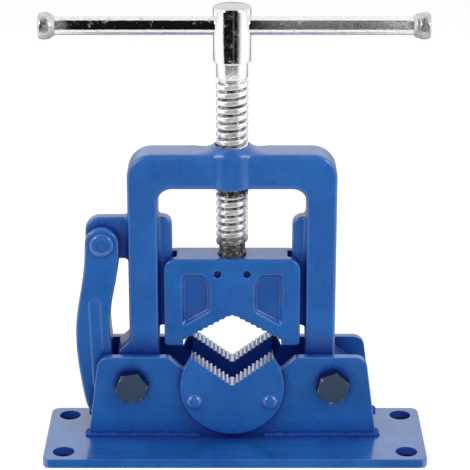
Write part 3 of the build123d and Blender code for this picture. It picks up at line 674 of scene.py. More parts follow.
def screwGrease(place, spots):
    # dirt in the thread's roots, thick near the jaw and where the thread leaves the yoke
    across, along, up = parts(place)
    radius = radiusFrom(minus(across, axisX), minus(along, axisY))
    root = fall(radius, screwWear["rootRadius"], screwWear["crestRadius"])
    thread = drop(up, screwWear["threadFrom"] - 0.004, 0.004)
    roots = times(root, thread, ramp(spots, 0.38, 0.58, 0.30, 1.0))
    overYoke = times(drop(up, screwWear["blobHigh"] - 0.004, 0.004, 0.35),
                     rise(up, screwWear["blobLow"] - 0.002, 0.002))
    blobs = times(overYoke, pattern(place, *screwWear["blobs"]))
    underYoke = times(rise(up, screwWear["collarLow"], 0.0012), drop(up, screwWear["collarHigh"], 0.001))
    thick = most(fall(up, screwWear["greaseFull"], screwWear["greaseNone"]), underYoke)
    top = rise(up, screwWear["topFrom"], 0.0004, 0.0, 0.30)
    return most(roots, blobs, top, times(thick, pattern(place, *screwWear["smears"])))


bolts = {
    "colour": (0.034, 0.072, 0.126),
    "stained": (0.046, 0.070, 0.112),
    # painted shade on the hexagons' flanks
    "flank": (0.003, 0.010, 0.055),
    "worn": (0.34, 0.44, 0.58),
    "roughness": 0.38,
    "metal": 0.35,
    "spots": (300.0, 5.0, 0.7),
    "spotHeight": 0.00008,
    "stains": (130.0, 3.0, 0.6, 0.42, 0.60),
}


def boltFinish(name, setup):
    # blackened faces, their edges worn, and flanks darkened as painted shade
    material, shader, place = newFinish(name)
    spots = noise(place, *setup["spots"])
    # painted shade: the six flanks take the dark flank colour
    flank = fall(distance(parts(surface(place, "True Normal"))[1]), 0.15, 0.45)
    edges = times(ramp(surface(place, "Pointiness"), 0.52, 0.60), ramp(spots, 0.35, 0.6, 0.3, 1.0))
    worn = times(most(edges, ramp(spots, 0.60, 0.78, 0.0, 0.35)), minus(1.0, flank))
    face = mix(pattern(place, *setup["stains"]), setup["colour"], setup["stained"])
    colour = mix(worn, mix(flank, face, setup["flank"]), setup["worn"])
    rough = ramp(spots, 0.3, 0.7, setup["roughness"] - 0.08, setup["roughness"] + 0.12)
    fillAll(shader, {"Base Color": colour, "Metallic": times(minus(1.0, flank), setup["metal"]),
                     "Specular IOR Level": ramp(flank, 0.0, 1.0, 0.5, 0.1), "Roughness": rough})
    addBump(shader, [(spots, setup["spotHeight"])])
    return material


plainSteel = {
    "colour": (0.5, 0.5, 0.5),
    "dark": (0.35, 0.35, 0.35),
    "roughness": 0.35,
    "grain": (500.0, 3.0, 0.6),
    "grainHeight": 0.00004,
}


def steelFinish(name, setup):
    material, shader, place = newFinish(name)
    grain = noise(place, *setup["grain"])
    colour = mix(ramp(grain, 0.35, 0.65), setup["colour"], setup["dark"])
    fillAll(shader, {"Metallic": 1.0, "Base Color": colour, "Roughness": setup["roughness"]})
    addBump(shader, [(grain, setup["grainHeight"])])
    return material


platePaint = {"colour": (0.0100, 0.118, 0.378), "coat": 1.0, "coatRoughness": 0.10, "coatIor": 1.62,
              "waves": (260.0, 3.0, 0.55)}
rivetPaint = {"coat": 1.0, "coatRoughness": 0.20, "specular": 0.8, "roughness": 0.24}
castColours = {"colour": (0.0035, 0.100, 0.372), "deep": (0.0025, 0.083, 0.325)}
castPaint = dict(castColours, coat=0.9, coatRoughness=0.24)
yokePaint = dict(castColours, coat=0.85, coatRoughness=0.30)
jawPaint = dict(castColours, coat=0.65, coatRoughness=0.28)
# weld paint, its darker colour partly painted shade at the cheeks' feet
weldPaint = {"colour": (0.006, 0.066, 0.270), "deep": (0.004, 0.045, 0.210), "coat": 0.10, "roughness": 0.5,
             "specular": 0.12}
screwPlating = dict(plating, dull=(0.93, 0.93, 0.93))

plateFinish = paintFinish("platePaint", platePaint, 0.9, dark=apronShade, sides=plateSides)
rivetFinish = paintFinish("rivetPaint", rivetPaint, 0.6)
hookRivetFinish = paintFinish("hookRivetPaint", {"coat": 1.0, "coatRoughness": 0.22}, 2.2)
cheekFinish = paintFinish("cheekPaint", {}, 0.6, proud=cutEdges, dark=cheekShade)
castFinish = paintFinish("castPaint", castPaint, 1.5, proud=castEdges)
yokeFinish = paintFinish("yokePaint", yokePaint, 1.5, proud=castEdges, dark=legShade)
jawBlockFinish = paintFinish("upperJawPaint", jawPaint, 1.2, dark=pocketShade)
weldFinish = paintFinish("weldPaint", weldPaint, 0.5, dark=apronShade)
jawFinish = paintFinish("lowerJawPaint", {}, 0.8, bare=lowerTeethBare, dark=shadeBetweenCheeks)
barFinish = platedFinish("barPlating", plating, barDullness, barDust)
knobFinish = platedFinish("knobPlating", plating, knobDullness)
screwFinish = platedFinish("screwPlating", screwPlating, screwDullness, screwDust, screwGrease)
blackFinish = boltFinish("boltSteel", bolts)

slotFinishes = {
    "blue_paint": plateFinish,
    "black_steel": blackFinish,
    "bright_zinc": barFinish,
    "plain_steel": steelFinish("plainSteel", plainSteel),
}
nodeFinishes = {
    "front_cheek": cheekFinish,
    "rear_cheek": cheekFinish,
    "front_lower_jaw": jawFinish,
    "rear_lower_jaw": jawFinish,
    "lower_jaw_rivets": rivetFinish,
    "jaw_pins": rivetFinish,
}


def dress(piece, material):
    piece.data.materials.clear()
    piece.data.materials.append(material)


for part in frame["record"]["subparts"]:
    dress(cad[part["node"]], nodeFinishes.get(part["node"], slotFinishes[part["material_slot"]]))
print("finishes on")


# Hand tools

hair = 0.00001           # two points nearer than this are one point


def clearSelection():
    if bpy.context.mode != "OBJECT":
        bpy.ops.object.mode_set(mode="OBJECT")
    bpy.ops.object.select_all(action="DESELECT")


def takeUp(piece):
    clearSelection()
    piece.select_set(True)
    bpy.context.view_layer.objects.active = piece


def openUp(piece):
    takeUp(piece)
    bpy.ops.object.mode_set(mode="EDIT")


def settle(piece):
    takeUp(piece)
    bpy.ops.object.transform_apply(location=True, rotation=True, scale=True)
    return piece


def named(name):
    piece = bpy.context.object
    piece.name = name
    return settle(piece)


def onScrewAxis(height):
    return Vector((axisX, axisY, height))


def lay(piece, along, middle, way=1.0):
    # turns a form that stands along Z to another axis, and moves it to its place
    quarter = math.pi / 2
    turned = {"X": (0.0, quarter, 0.0), "Y": (way * quarter, 0.0, 0.0), "Z": (0.0, 0.0, 0.0)}
    piece.rotation_euler = turned[along]
    piece.location = middle
    return settle(piece)


def selectAll():
    bpy.ops.mesh.select_all(action="SELECT")


def mergeAll():
    selectAll()
    bpy.ops.mesh.remove_doubles(threshold=hair)


def closeUp():
    # turns every face outward, and leaves edit mode
    selectAll()
    bpy.ops.mesh.normals_make_consistent(inside=False)
    clearSelection()


def pick(piece, kind, test):
    # in edit mode, takes the faces or the edges that pass the test
    bpy.ops.mesh.select_mode(type=kind)
    bpy.ops.mesh.select_all(action="DESELECT")
    mesh = bmesh.from_edit_mesh(piece.data)
    items = mesh.faces if kind == "FACE" else mesh.edges
    for item in items:
        if test(item):
            item.select_set(True)
    bmesh.update_edit_mesh(piece.data)


def pickFaces(piece, test):
    pick(piece, "FACE", lambda face: test(face.normal))


def pickEdges(piece, test):
    pick(piece, "EDGE", lambda edge: test(edge.verts[0].co, edge.verts[1].co, edge))


def bevel(width, steps):
    bpy.ops.mesh.bevel(offset=width, segments=steps)


def modify(piece, kind, **settings):
    takeUp(piece)
    modifier = piece.modifiers.new(kind.lower(), kind)
    for name, value in settings.items():
        setattr(modifier, name, value)
    bpy.ops.object.modifier_apply(modifier=modifier.name)


def joinAll(pieces):
    clearSelection()
    for piece in pieces:
        piece.select_set(True)
    bpy.context.view_layer.objects.active = pieces[0]
    bpy.ops.object.join()
    return pieces[0]


def carve(piece, tools, operation="DIFFERENCE"):
    # cuts, meets or adds the tools, and takes them away
    for tool in tools:
        modify(piece, "BOOLEAN", operation=operation, object=tool, solver="EXACT")
        bpy.data.objects.remove(tool, do_unlink=True)
    return piece


def addBlock(name, low, high):
    clearSelection()
    bpy.ops.mesh.primitive_cube_add(size=1.0, location=(low + high) / 2, scale=high - low)
    return named(name)


def addRod(name, middle, radius, length, along="Z", sides=48, turn=0.0):
    # a cylinder along one axis, its first corner turned by some degrees
    clearSelection()
    turned = (0.0, 0.0, math.radians(turn))
    bpy.ops.mesh.primitive_cylinder_add(vertices=sides, radius=radius, depth=length, rotation=turned)
    return lay(named(name), along, middle)


def drawOutline(name, points):
    # a line of points, drawn by pulling one corner on from place to place
    clearSelection()
    bpy.ops.mesh.primitive_plane_add(size=0.001)
    line = named(name)
    openUp(line)
    bpy.ops.mesh.select_mode(type="VERT")
    selectAll()
    bpy.ops.mesh.merge(type="CENTER")
    bpy.ops.transform.translate(value=points[0])
    last = Vector(points[0])
    for point in points[1:]:
        bpy.ops.mesh.extrude_vertices_move(TRANSFORM_OT_translate={"value": Vector(point) - last})
        last = Vector(point)
    return line


def turnForm(name, outline, middle, along="Z", steps=64, flip=1.0):
    # outline: (radius, length) pairs, turned about an axis through the middle
    form = drawOutline(name, [(radius, 0.0, length * flip) for radius, length in outline])
    selectAll()
    bpy.ops.mesh.spin(steps=steps, angle=math.tau, center=(0.0, 0.0, 0.0), axis=(0.0, 0.0, 1.0))
    mergeAll()
    closeUp()
    return lay(form, along, middle, -1.0)


def drawFace(name, points):
    # a closed outline, filled and picked
    face = drawOutline(name, points)
    selectAll()
    bpy.ops.mesh.edge_face_add()
    bpy.ops.mesh.select_mode(type="FACE")
    selectAll()
    return face


def push(depth):
    # pulls the picked face along Y, with walls behind it
    bpy.ops.mesh.extrude_region_move(TRANSFORM_OT_translate={"value": (0.0, depth, 0.0)})


def prism(name, points, depth):
    form = drawFace(name, points)
    push(depth)
    closeUp()
    return form


def profile(shares, root, crest, pitch):
    # (rise, share) pairs of one thread as (radius, height) pairs
    return [(root + (crest - root) * rise, pitch * share) for rise, share in shares]


def windThread(name, outline, middle, turns, pitch, low, high, steps=40, turn=0.0):
    # outline: (radius, height) pairs over one pitch, wound up Z and closed flat at low and high
    thread = drawOutline(name, [(radius, 0.0, height) for radius, height in outline])
    clearSelection()
    modify(thread, "SCREW", axis="Z", angle=math.tau, screw_offset=pitch, iterations=turns, steps=steps,
           render_steps=steps, use_merge_vertices=False, use_smooth_shade=True)
    openUp(thread)
    mergeAll()
    ends = [(low - middle.z, lambda z: z < 1.05 * pitch),
            (high - middle.z, lambda z: z > (turns - 1.05) * pitch + pitch)]
    for level, isEnd in ends:
        pickEdges(thread, lambda a, b, edge: edge.is_boundary and isEnd(a.z) and isEnd(b.z))
        bpy.ops.mesh.extrude_edges_move(TRANSFORM_OT_translate={"value": (0.0, 0.0, 0.0)})
        bpy.ops.transform.resize(value=(1.0, 1.0, 0.0), center_override=(0.0, 0.0, level))
        bpy.ops.mesh.edge_face_add()
    closeUp()
    thread.location = middle
    thread.rotation_euler = (0.0, 0.0, turn)
    return settle(thread)


def castFrom(name, node):
    # a merged copy of a solid, to be cast over with softer forms
    clearSelection()
    piece = bpy.data.objects.new(name, cad[node].data.copy())
    scene.collection.objects.link(piece)
    openUp(piece)
    mergeAll()
    clearSelection()
    return piece


def soften(piece, steps, zone=""):
    modify(piece, "SMOOTH", factor=0.5, iterations=steps, vertex_group=zone)


def castOver(piece, sizes):
    modify(piece, "REMESH", mode="VOXEL", voxel_size=sizes["voxel"])
    soften(piece, sizes["smoothing"])


def markZone(piece, name, weight):
    # a vertex group whose weight depends on where a point is
    group = piece.vertex_groups.new(name=name)
    for vertex in piece.data.vertices:
        value = weight(vertex.co)
        if value > 0.0:
            group.add([vertex.index], min(1.0, value), "REPLACE")
    return name


def fade(value, full, none):
    # 1 at full, 0 at none, straight between
    return max(0.0, min(1.0, (none - value) / (none - full)))


def handOver(piece, body, material, node, smoothUnder, weighted=False):
    # smooth under an angle in degrees; weighted: flat faces keep their own shade
    takeUp(piece)
    bpy.ops.object.shade_smooth_by_angle(angle=math.radians(smoothUnder))
    if weighted:
        modify(piece, "WEIGHTED_NORMAL", keep_sharp=True)
    dress(piece, material)
    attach(piece, body)
    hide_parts(node)
    print("made", piece.name, len(piece.data.polygons), "faces")


# Base plate: a sheared plate with soft edges and four bench holes

basePlate = {
    "cornerRadius": 0.006,
    "cornerSteps": 10,
    "topEdge": 0.0011,
    "footEdge": 0.0005,
    "holeRadius": 0.0075,
    "holeFromEnd": 0.014,
    "holeFromSide": 0.01325,
    "holeEdge": 0.0006,
    "smoothUnder": 32.0,
}


def makeBasePlate(sizes):
    low, high = nodeBox("base_plate")
    plate = addBlock("basePlateMetal", low, high)
    openUp(plate)
    pickEdges(plate, lambda a, b, edge: abs(a.z - b.z) > hair)
    bevel(sizes["cornerRadius"], sizes["cornerSteps"])
    for way, width, steps in ((1, sizes["topEdge"], 3), (-1, sizes["footEdge"], 2)):
        pickFaces(plate, lambda normal: normal.z * way > 0.9)
        bpy.ops.mesh.region_to_loop()
        bevel(width, steps)
    clearSelection()
    holes = []
    for endX in (low.x + sizes["holeFromEnd"], high.x - sizes["holeFromEnd"]):
        for sideY in (low.y + sizes["holeFromSide"], high.y - sizes["holeFromSide"]):
            holes.append(Vector((endX, sideY, (low.z + high.z) / 2)))
    radius, depth = sizes["holeRadius"], 3 * (high.z - low.z)
    carve(plate, [addRod("benchHole", hole, radius, depth) for hole in holes])

    def onRim(point):
        return any(abs((point - hole).xy.length - radius) < 10 * hair for hole in holes)

    openUp(plate)
    pickEdges(plate, lambda a, b, edge: onRim(a) and onRim(b) and abs(a.z - b.z) < hair)
    bevel(sizes["holeEdge"], 2)
    clearSelection()
    handOver(plate, "base", plateFinish, "base_plate", sizes["smoothUnder"], weighted=True)


makeBasePlate(basePlate)


# Welds: rows of overlapping blobs along the cheeks' feet and round their ends

welds = {
    "frontLeg": 0.0036,
    "rearLeg": 0.0024,
    "endLeg": 0.0034,
    "legShare": 0.86,         # a bead's radius, so that with its jitter it stays in the leg
    "pace": 0.0026,
    "jitter": 0.14,
    "turn": 0.25,
    "blobLength": 0.80,
    "jawInset": 0.013,        # how far inside the lower jaw's end each row starts
    "footCut": 0.0006,        # the beads are cut this far under the cheek's foot
    "voxel": 0.00045,
    "smoothing": 6,
    "seed": 7,
    "smoothUnder": 80.0,
}


def makeWelds(sizes):
    random.seed(sizes["seed"])
    cheekLow, cheekHigh = nodeBox("front_cheek")
    rearLow, rearHigh = nodeBox("rear_cheek")
    weldLow, weldHigh = nodeBox("cheek_welds")
    jawLow, jawHigh = nodeBox("front_lower_jaw")
    foot = cheekLow.z
    gapHalf = (jawHigh.x - jawLow.x) / 2 - sizes["jawInset"]
    clearSelection()
    bpy.ops.mesh.primitive_uv_sphere_add(segments=12, ring_count=8, radius=1.0)
    blob = named("weldBlob")
    blobs = []

    def run(startX, startY, endX, endY, legName):
        start, end = Vector((startX, startY, foot)), Vector((endX, endY, foot))
        leg = sizes[legName] * sizes["legShare"]
        count = max(2, round((end - start).length / sizes["pace"]))
        for step in range(count + 1):
            bead = blob.copy()
            bead.data = blob.data.copy()
            scene.collection.objects.link(bead)
            size = leg * (1.0 + random.uniform(-sizes["jitter"], sizes["jitter"]))
            length = leg * sizes["blobLength"]
            bead.scale = (length, size, size) if startY == endY else (size, length, size)
            bead.location = start.lerp(end, step / count)
            bead.rotation_euler = (0.0, 0.0, random.uniform(-sizes["turn"], sizes["turn"]))
            blobs.append(settle(bead))

    for side, outer, endX in ((-1, weldLow.x, cheekLow.x), (1, weldHigh.x, cheekHigh.x)):
        inner = axisX + side * gapHalf
        run(inner, cheekLow.y, outer, cheekLow.y, "frontLeg")
        run(inner, rearHigh.y, outer, rearHigh.y, "rearLeg")
        run(endX, cheekLow.y, endX, cheekHigh.y, "endLeg")
        run(endX, rearLow.y, endX, rearHigh.y, "endLeg")
    bpy.data.objects.remove(blob, do_unlink=True)
    beads = joinAll(blobs)
    beads.name = "weldBeads"
    modify(beads, "REMESH", mode="VOXEL", voxel_size=sizes["voxel"])
    openUp(beads)
    selectAll()
    cutAt = (0.0, 0.0, foot - sizes["footCut"])
    bpy.ops.mesh.bisect(plane_co=cutAt, plane_no=(0.0, 0.0, 1.0), use_fill=True, clear_inner=True)
    clearSelection()
    soften(beads, sizes["smoothing"])
    handOver(beads, "base", weldFinish, "cheek_welds", sizes["smoothUnder"])


makeWelds(welds)


# Bolts, nuts and washers

fasteners = {
    "acrossFlats": 0.021,
    "chamferAngle": 30.0,
    "chamferShare": 1.25,     # of the corners' reach beyond the flats
    "shaperShare": 1.02,
    "edge": 0.00030,
    "edgeSteps": 2,
    "edgeAngle": 24.0,
    "shankRadius": 0.007,
    "threadPitch": 0.0020,
    "threadDepth": 0.0010,
    "boreGap": 0.0001,
    "sinkDepth": 0.0014,
    "sinkInner": 0.0005,
    "sinkOuter": 0.0012,
    "washerGap": 0.0005,
    "washerEdge": 0.0004,
    "hingeTurn": 49.0,        # of the hexagons, in degrees
    "latchTurn": 36.5,
    "smoothUnder": 30.0,
    "washerSmoothUnder": 40.0,
}
fineThread = [(0.0, 0.0), (0.9, 0.42), (1.0, 0.5), (0.9, 0.58), (0.0, 1.0)]


def hexForm(name, middle, length, turn, bothEnds, sizes):
    # a hexagon along Y whose corners are turned off at its front end, or at both
    flat = sizes["acrossFlats"] / 2
    corner = flat / math.cos(math.pi / 6)
    chamfer = (corner - flat) * math.tan(math.radians(sizes["chamferAngle"]))
    form = addRod(name, middle, corner, length, "Y", 6, turn)
    shaper = addRod("hexShaper", middle, corner * sizes["shaperShare"], length - 2 * chamfer, "Y", 72)
    openUp(shaper)
    for way in (-1, 1):
        pickFaces(shaper, lambda normal: normal.y * way > 0.9)
        if way < 0 or bothEnds:
            bpy.ops.mesh.inset(thickness=(corner - flat) * sizes["chamferShare"], depth=chamfer)
        else:
            bpy.ops.transform.translate(value=(0.0, chamfer, 0.0))
    clearSelection()
    carve(form, [shaper], "INTERSECT")
    modify(form, "BEVEL", width=sizes["edge"], segments=sizes["edgeSteps"], limit_method="ANGLE",
           angle_limit=math.radians(sizes["edgeAngle"]))
    return form


def boltTip(x, startY, endY, sizes):
    # a fine thread along Y, from one depth to another
    radius, pitch = sizes["shankRadius"], sizes["threadPitch"]
    turns = max(1, int((endY - startY) / pitch) - 1)
    outline = profile(fineThread, radius - sizes["threadDepth"], radius, pitch)
    thread = windThread("tip", outline, Vector((0.0, 0.0, 0.0)), turns, pitch, -0.0002, endY - startY)
    return lay(thread, "Y", (x, startY, pivotZ), -1.0)


def makeFasteners(kind, turn, sizes):
    boltLow, boltHigh = nodeBox(kind + "_bolt")
    nutLow, nutHigh = nodeBox(kind + "_nut")
    washerLow, washerHigh = nodeBox(kind + "_washer")
    cheekY = nodeBox("front_cheek")[0].y
    x = (washerLow.x + washerHigh.x) / 2
    radius = sizes["shankRadius"]

    def onAxis(y):
        return Vector((x, y, pivotZ))

    headLength = cheekY - boltLow.y
    head = hexForm(kind + "BoltSteel", onAxis(boltLow.y + headLength / 2), headLength, turn, False, sizes)
    shank = addRod("shank", onAxis((cheekY + nutLow.y) / 2), radius, nutLow.y - cheekY, "Y")
    bolt = joinAll([head, shank, boltTip(x, nutLow.y, boltHigh.y - 0.0002, sizes)])
    handOver(bolt, "base", blackFinish, kind + "_bolt", sizes["smoothUnder"], weighted=True)

    nutLength = nutHigh.y - nutLow.y
    nutMiddle = onAxis(nutLow.y + nutLength / 2)
    nut = hexForm(kind + "NutSteel", nutMiddle, nutLength, turn, True, sizes)
    bore = addRod("bore", nutMiddle, radius + sizes["boreGap"], 2 * nutLength, "Y")
    sinkInner, sinkOuter = radius - sizes["sinkInner"], radius + sizes["sinkOuter"]
    sinkEnd = sizes["sinkDepth"] + 0.0003
    cone = [(0.0, 0.0), (sinkInner, 0.0), (sinkOuter, sinkEnd), (0.0, sinkEnd)]
    sink = turnForm("sink", cone, onAxis(nutHigh.y - sizes["sinkDepth"]), "Y")
    carve(nut, [bore, sink])
    handOver(nut, "base", blackFinish, kind + "_nut", sizes["smoothUnder"], weighted=True)

    thickness, edge = washerHigh.y - washerLow.y, sizes["washerEdge"]
    outer, inner = (washerHigh.x - washerLow.x) / 2, radius + sizes["washerGap"]
    back = thickness - edge
    ring = [(inner, edge), (inner + edge, 0.0), (outer - 2 * edge, 0.0), (outer - edge * 0.6, edge * 0.6),
            (outer, 2 * edge), (outer, back), (outer - edge, thickness), (inner + edge, thickness),
            (inner, back), (inner, edge)]
    washer = turnForm(kind + "WasherSteel", ring, onAxis(washerLow.y), "Y")
    handOver(washer, "base", blackFinish, kind + "_washer", sizes["washerSmoothUnder"])


makeFasteners("hinge", fasteners["hingeTurn"], fasteners)
makeFasteners("latch", fasteners["latchTurn"], fasteners)
print("fasteners made")


# Yoke: the inverted U, cast over its solid with soft hollows round the screw boss

yokeForm = {
    "voxel": 0.0012,
    "smoothing": 5,
    "bossBlend": 44,          # rounds of smoothing near the screw's boss
    "bossReach": 0.026,       # across, from the screw's axis
    "bossDrop": 0.0244,       # from the top of the boss down to its foot
    "bossFade": 0.004,
    "boreKeep": 0.0125,
    "boreFade": 0.0025,
    "smoothUnder": 70.0,
}


def makeYoke(sizes):
    yoke = castFrom("yokeCasting", "yoke_frame")
    castOver(yoke, sizes)
    bossFoot = nodeBox("yoke_frame")[1].z - sizes["bossDrop"]

    def nearBoss(point):
        aside = abs(point.x - axisX)
        fromBore = math.hypot(point.x - axisX, point.y - axisY)
        across = fade(aside, sizes["bossReach"] * 0.75, sizes["bossReach"])
        upward = fade(-point.z, -bossFoot - sizes["bossFade"], -bossFoot)
        return across * upward * fade(-fromBore, -sizes["boreKeep"] - sizes["boreFade"], -sizes["boreKeep"])

    soften(yoke, sizes["bossBlend"], markZone(yoke, "bossBlend", nearBoss))
    handOver(yoke, "yoke", yokeFinish, "yoke_frame", sizes["smoothUnder"])


makeYoke(yokeForm)


# Latch hook: a forging with a long rib, its edges well rounded

hookForm = {"voxel": 0.0008, "smoothing": 20, "smoothUnder": 70.0}


def makeHook(sizes):
    hook = castFrom("hookForging", "hook")
    castOver(hook, sizes)
    handOver(hook, "latch_hook", castFinish, "hook", sizes["smoothUnder"])


makeHook(hookForm)


# Hook rivet: domed heads with a shallow dish

rivetForm = {
    "head": 0.0034,
    "dish": 0.0005,
    "dishRadius": 0.0060,
    "shank": 0.005,
    "shankInset": 0.0025,
    "smoothUnder": 50.0,
}


def makeHookRivet(sizes):
    low, high = nodeBox("hook_rivet")
    middle, radius = (low + high) / 2, (high.x - low.x) / 2
    head, dish, dishRadius = sizes["head"], sizes["dish"], sizes["dishRadius"]
    outline = [(0.0, -head - 0.0001), (radius * 0.97, -head - 0.0001)]
    for angle in range(0, 61, 10):
        lift = 1.0 - math.sin(math.radians(angle))
        outline.append((radius * math.cos(math.radians(angle)), -head * lift))
    rimRadius, rim = outline[-1]
    outline += [(rimRadius * 0.86, rim + 0.0001), (dishRadius * 0.8, rim - 0.0002),
                (dishRadius * 0.4, rim - dish * 0.6), (0.0, rim - dish * 0.7)]
    shank = addRod("rivetShank", middle, sizes["shank"], high.y - low.y - sizes["shankInset"], "Y")
    front = turnForm("hookRivetHeads", outline, Vector((middle.x, low.y, middle.z)), "Y", flip=-1.0)
    rear = turnForm("rearHead", outline, Vector((middle.x, high.y, middle.z)), "Y")
    rivet = joinAll([front, rear, shank])
    handOver(rivet, "yoke", hookRivetFinish, "hook_rivet", sizes["smoothUnder"])


makeHookRivet(rivetForm)


# Upper jaw: a cast V block whose pockets have sloping walls

upperJaw = {
    "voxel": 0.00062,
    "smoothing": 5,
    "pocketInner": 0.0150,    # from the middle, across
    "pocketOuter": 0.0360,
    "pocketTop": 0.1263,
    "pocketFootInner": 0.0980,
    "pocketFootOuter": 0.0863,
    "cornerWide": 0.0045,
    "cornerTall": 0.0080,
    "pocketMiddle": 0.108,    # the walls slope towards this height
    "pocketHalfTall": 0.0165,
    "pocketDepth": 0.0032,
    "fillerDepth": 0.004,
    "lead": 0.002,            # how far outside the face each cutter starts
    "wallSlope": 0.0024,
    "edge": 0.0026,
    "smoothUnder": 50.0,
}

upperTeeth = {
    "half": 0.0350,
    "angle": 29.0,
    "apexZ": 0.0953,
    "count": 9,
    "backSlope": 0.20,        # of a tooth's long flank, as a share of the V's
    "lead": 0.30,             # a tooth's short flank, as a share of its step
    "deeper": 0.0006,
    "fill": 0.0030,
    "overrun": 0.001,
    "fillInset": 0.0004,
}


def toothedV(low, high, sizes):
    # the space under the V, with one saw tooth after another on both slopes
    slope = math.tan(math.radians(sizes["angle"]))
    apex = sizes["apexZ"] + sizes["deeper"]
    half, over = sizes["half"], sizes["overrun"]
    step = half / sizes["count"]
    right = [(step / 2, apex - slope * step / 2)]
    for tooth in range(sizes["count"]):
        back, tip = (tooth + 0.5) * step, min((tooth + 1.5) * step, half)
        run = (1.0 - sizes["lead"]) * (tip - back)
        right.append((back + run, apex - slope * (back + sizes["backSlope"] * run)))
        right.append((tip, apex - slope * tip))
    right.append((half, low.z - 2 * over))
    left = [(-across, height) for across, height in reversed(right)]
    outline = [(axisX + across, low.y - over, height) for across, height in left + [(0.0, apex)] + right]
    return prism("toothTool", outline, high.y - low.y + 2 * over)


def plainV(low, high, sizes):
    # a band of metal along the V, for the teeth to be cut in
    fill, half, inset = sizes["fill"], sizes["half"], sizes["fillInset"]
    apex = sizes["apexZ"]
    end = apex - math.tan(math.radians(sizes["angle"])) * half
    corners = [(-half, end + fill), (0.0, apex + fill), (half, end + fill),
               (half, end - fill), (0.0, apex - fill), (-half, end - fill)]
    outline = [(axisX + across, low.y + inset, height) for across, height in corners]
    return prism("vFiller", outline, high.y - low.y - 2 * inset)


def pocketFiller(faceY, way, side, sizes):
    inner = axisX + side * (sizes["pocketInner"] - 0.001)
    outer = axisX + side * (sizes["pocketOuter"] + 0.001)
    far = faceY + way * sizes["fillerDepth"]
    low = Vector((min(inner, outer), min(faceY, far), sizes["pocketFootOuter"] + 0.002))
    high = Vector((max(inner, outer), max(faceY, far), sizes["pocketTop"] + 0.001))
    return addBlock("filler", low, high)


def pocketCutter(faceY, way, side, sizes):
    inner, outer, top = sizes["pocketInner"], sizes["pocketOuter"], sizes["pocketTop"]
    slope, lead = sizes["wallSlope"], sizes["lead"]
    corners = [(inner, top - sizes["cornerTall"]), (inner + sizes["cornerWide"], top), (outer, top),
               (outer, sizes["pocketFootOuter"]), (inner, sizes["pocketFootInner"])]
    front = faceY - way * lead
    cutter = drawFace("pocket", [(axisX + side * across, front, height) for across, height in corners])
    push(way * lead)
    push(way * sizes["pocketDepth"])
    middle = Vector((axisX + side * (inner + outer) / 2, 0.0, sizes["pocketMiddle"]))
    shrink = (1.0 - slope / ((outer - inner) / 2), 1.0, 1.0 - slope / sizes["pocketHalfTall"])
    bpy.ops.transform.resize(value=shrink, center_override=middle)
    closeUp()
    openUp(cutter)
    pickEdges(cutter, lambda a, b, edge: abs(a.y - b.y) > hair)
    bevel(sizes["edge"], 4)
    clearSelection()
    return cutter


def makeUpperJaw(sizes):
    low, high = nodeBox("upper_jaw")
    jaw = castFrom("upperJawCasting", "upper_jaw")
    pockets = [(faceY, way, side) for faceY, way in ((low.y, 1.0), (high.y, -1.0)) for side in (-1, 1)]
    fillers = [pocketFiller(*pocket, sizes) for pocket in pockets] + [plainV(low, high, upperTeeth)]
    cutters = [pocketCutter(*pocket, sizes) for pocket in pockets]
    carve(jaw, fillers, "UNION")
    carve(jaw, cutters)
    castOver(jaw, sizes)
    carve(jaw, [toothedV(low, high, upperTeeth)])
    handOver(jaw, "jaw_slide_block", jawBlockFinish, "upper_jaw", sizes["smoothUnder"])


makeUpperJaw(upperJaw)
print("castings made")


# Feed screw: coarse thread with rounded crests, plain lower end, neck and head

feedScrew = {
    "pitch": 0.00564,
    "crestRadius": 0.01125,
    "rootRadius": 0.00925,
    "threadStart": 0.1416,
    "threadEnd": 0.2660,
    "headStart": 0.2775,
    "neckRadius": 0.0111,
    "headRadius": 0.01315,
    "plainRadius": 0.0095,
    "grooveRadius": 0.0075,
    "grooveLow": 0.1235,
    "grooveHigh": 0.1291,
    "barHole": 0.00637,
    "barZ": 0.3024,
    "headEdge": 0.0020,
    "smoothUnder": 40.0,
}
coarseThread = [(0.0, 0.0), (0.03, 0.08), (0.18, 0.13), (0.55, 0.18), (0.86, 0.22), (0.97, 0.27),
                (1.0, 0.36), (1.0, 0.64), (0.97, 0.73), (0.86, 0.78), (0.55, 0.82), (0.18, 0.87),
                (0.03, 0.92), (0.0, 1.0)]


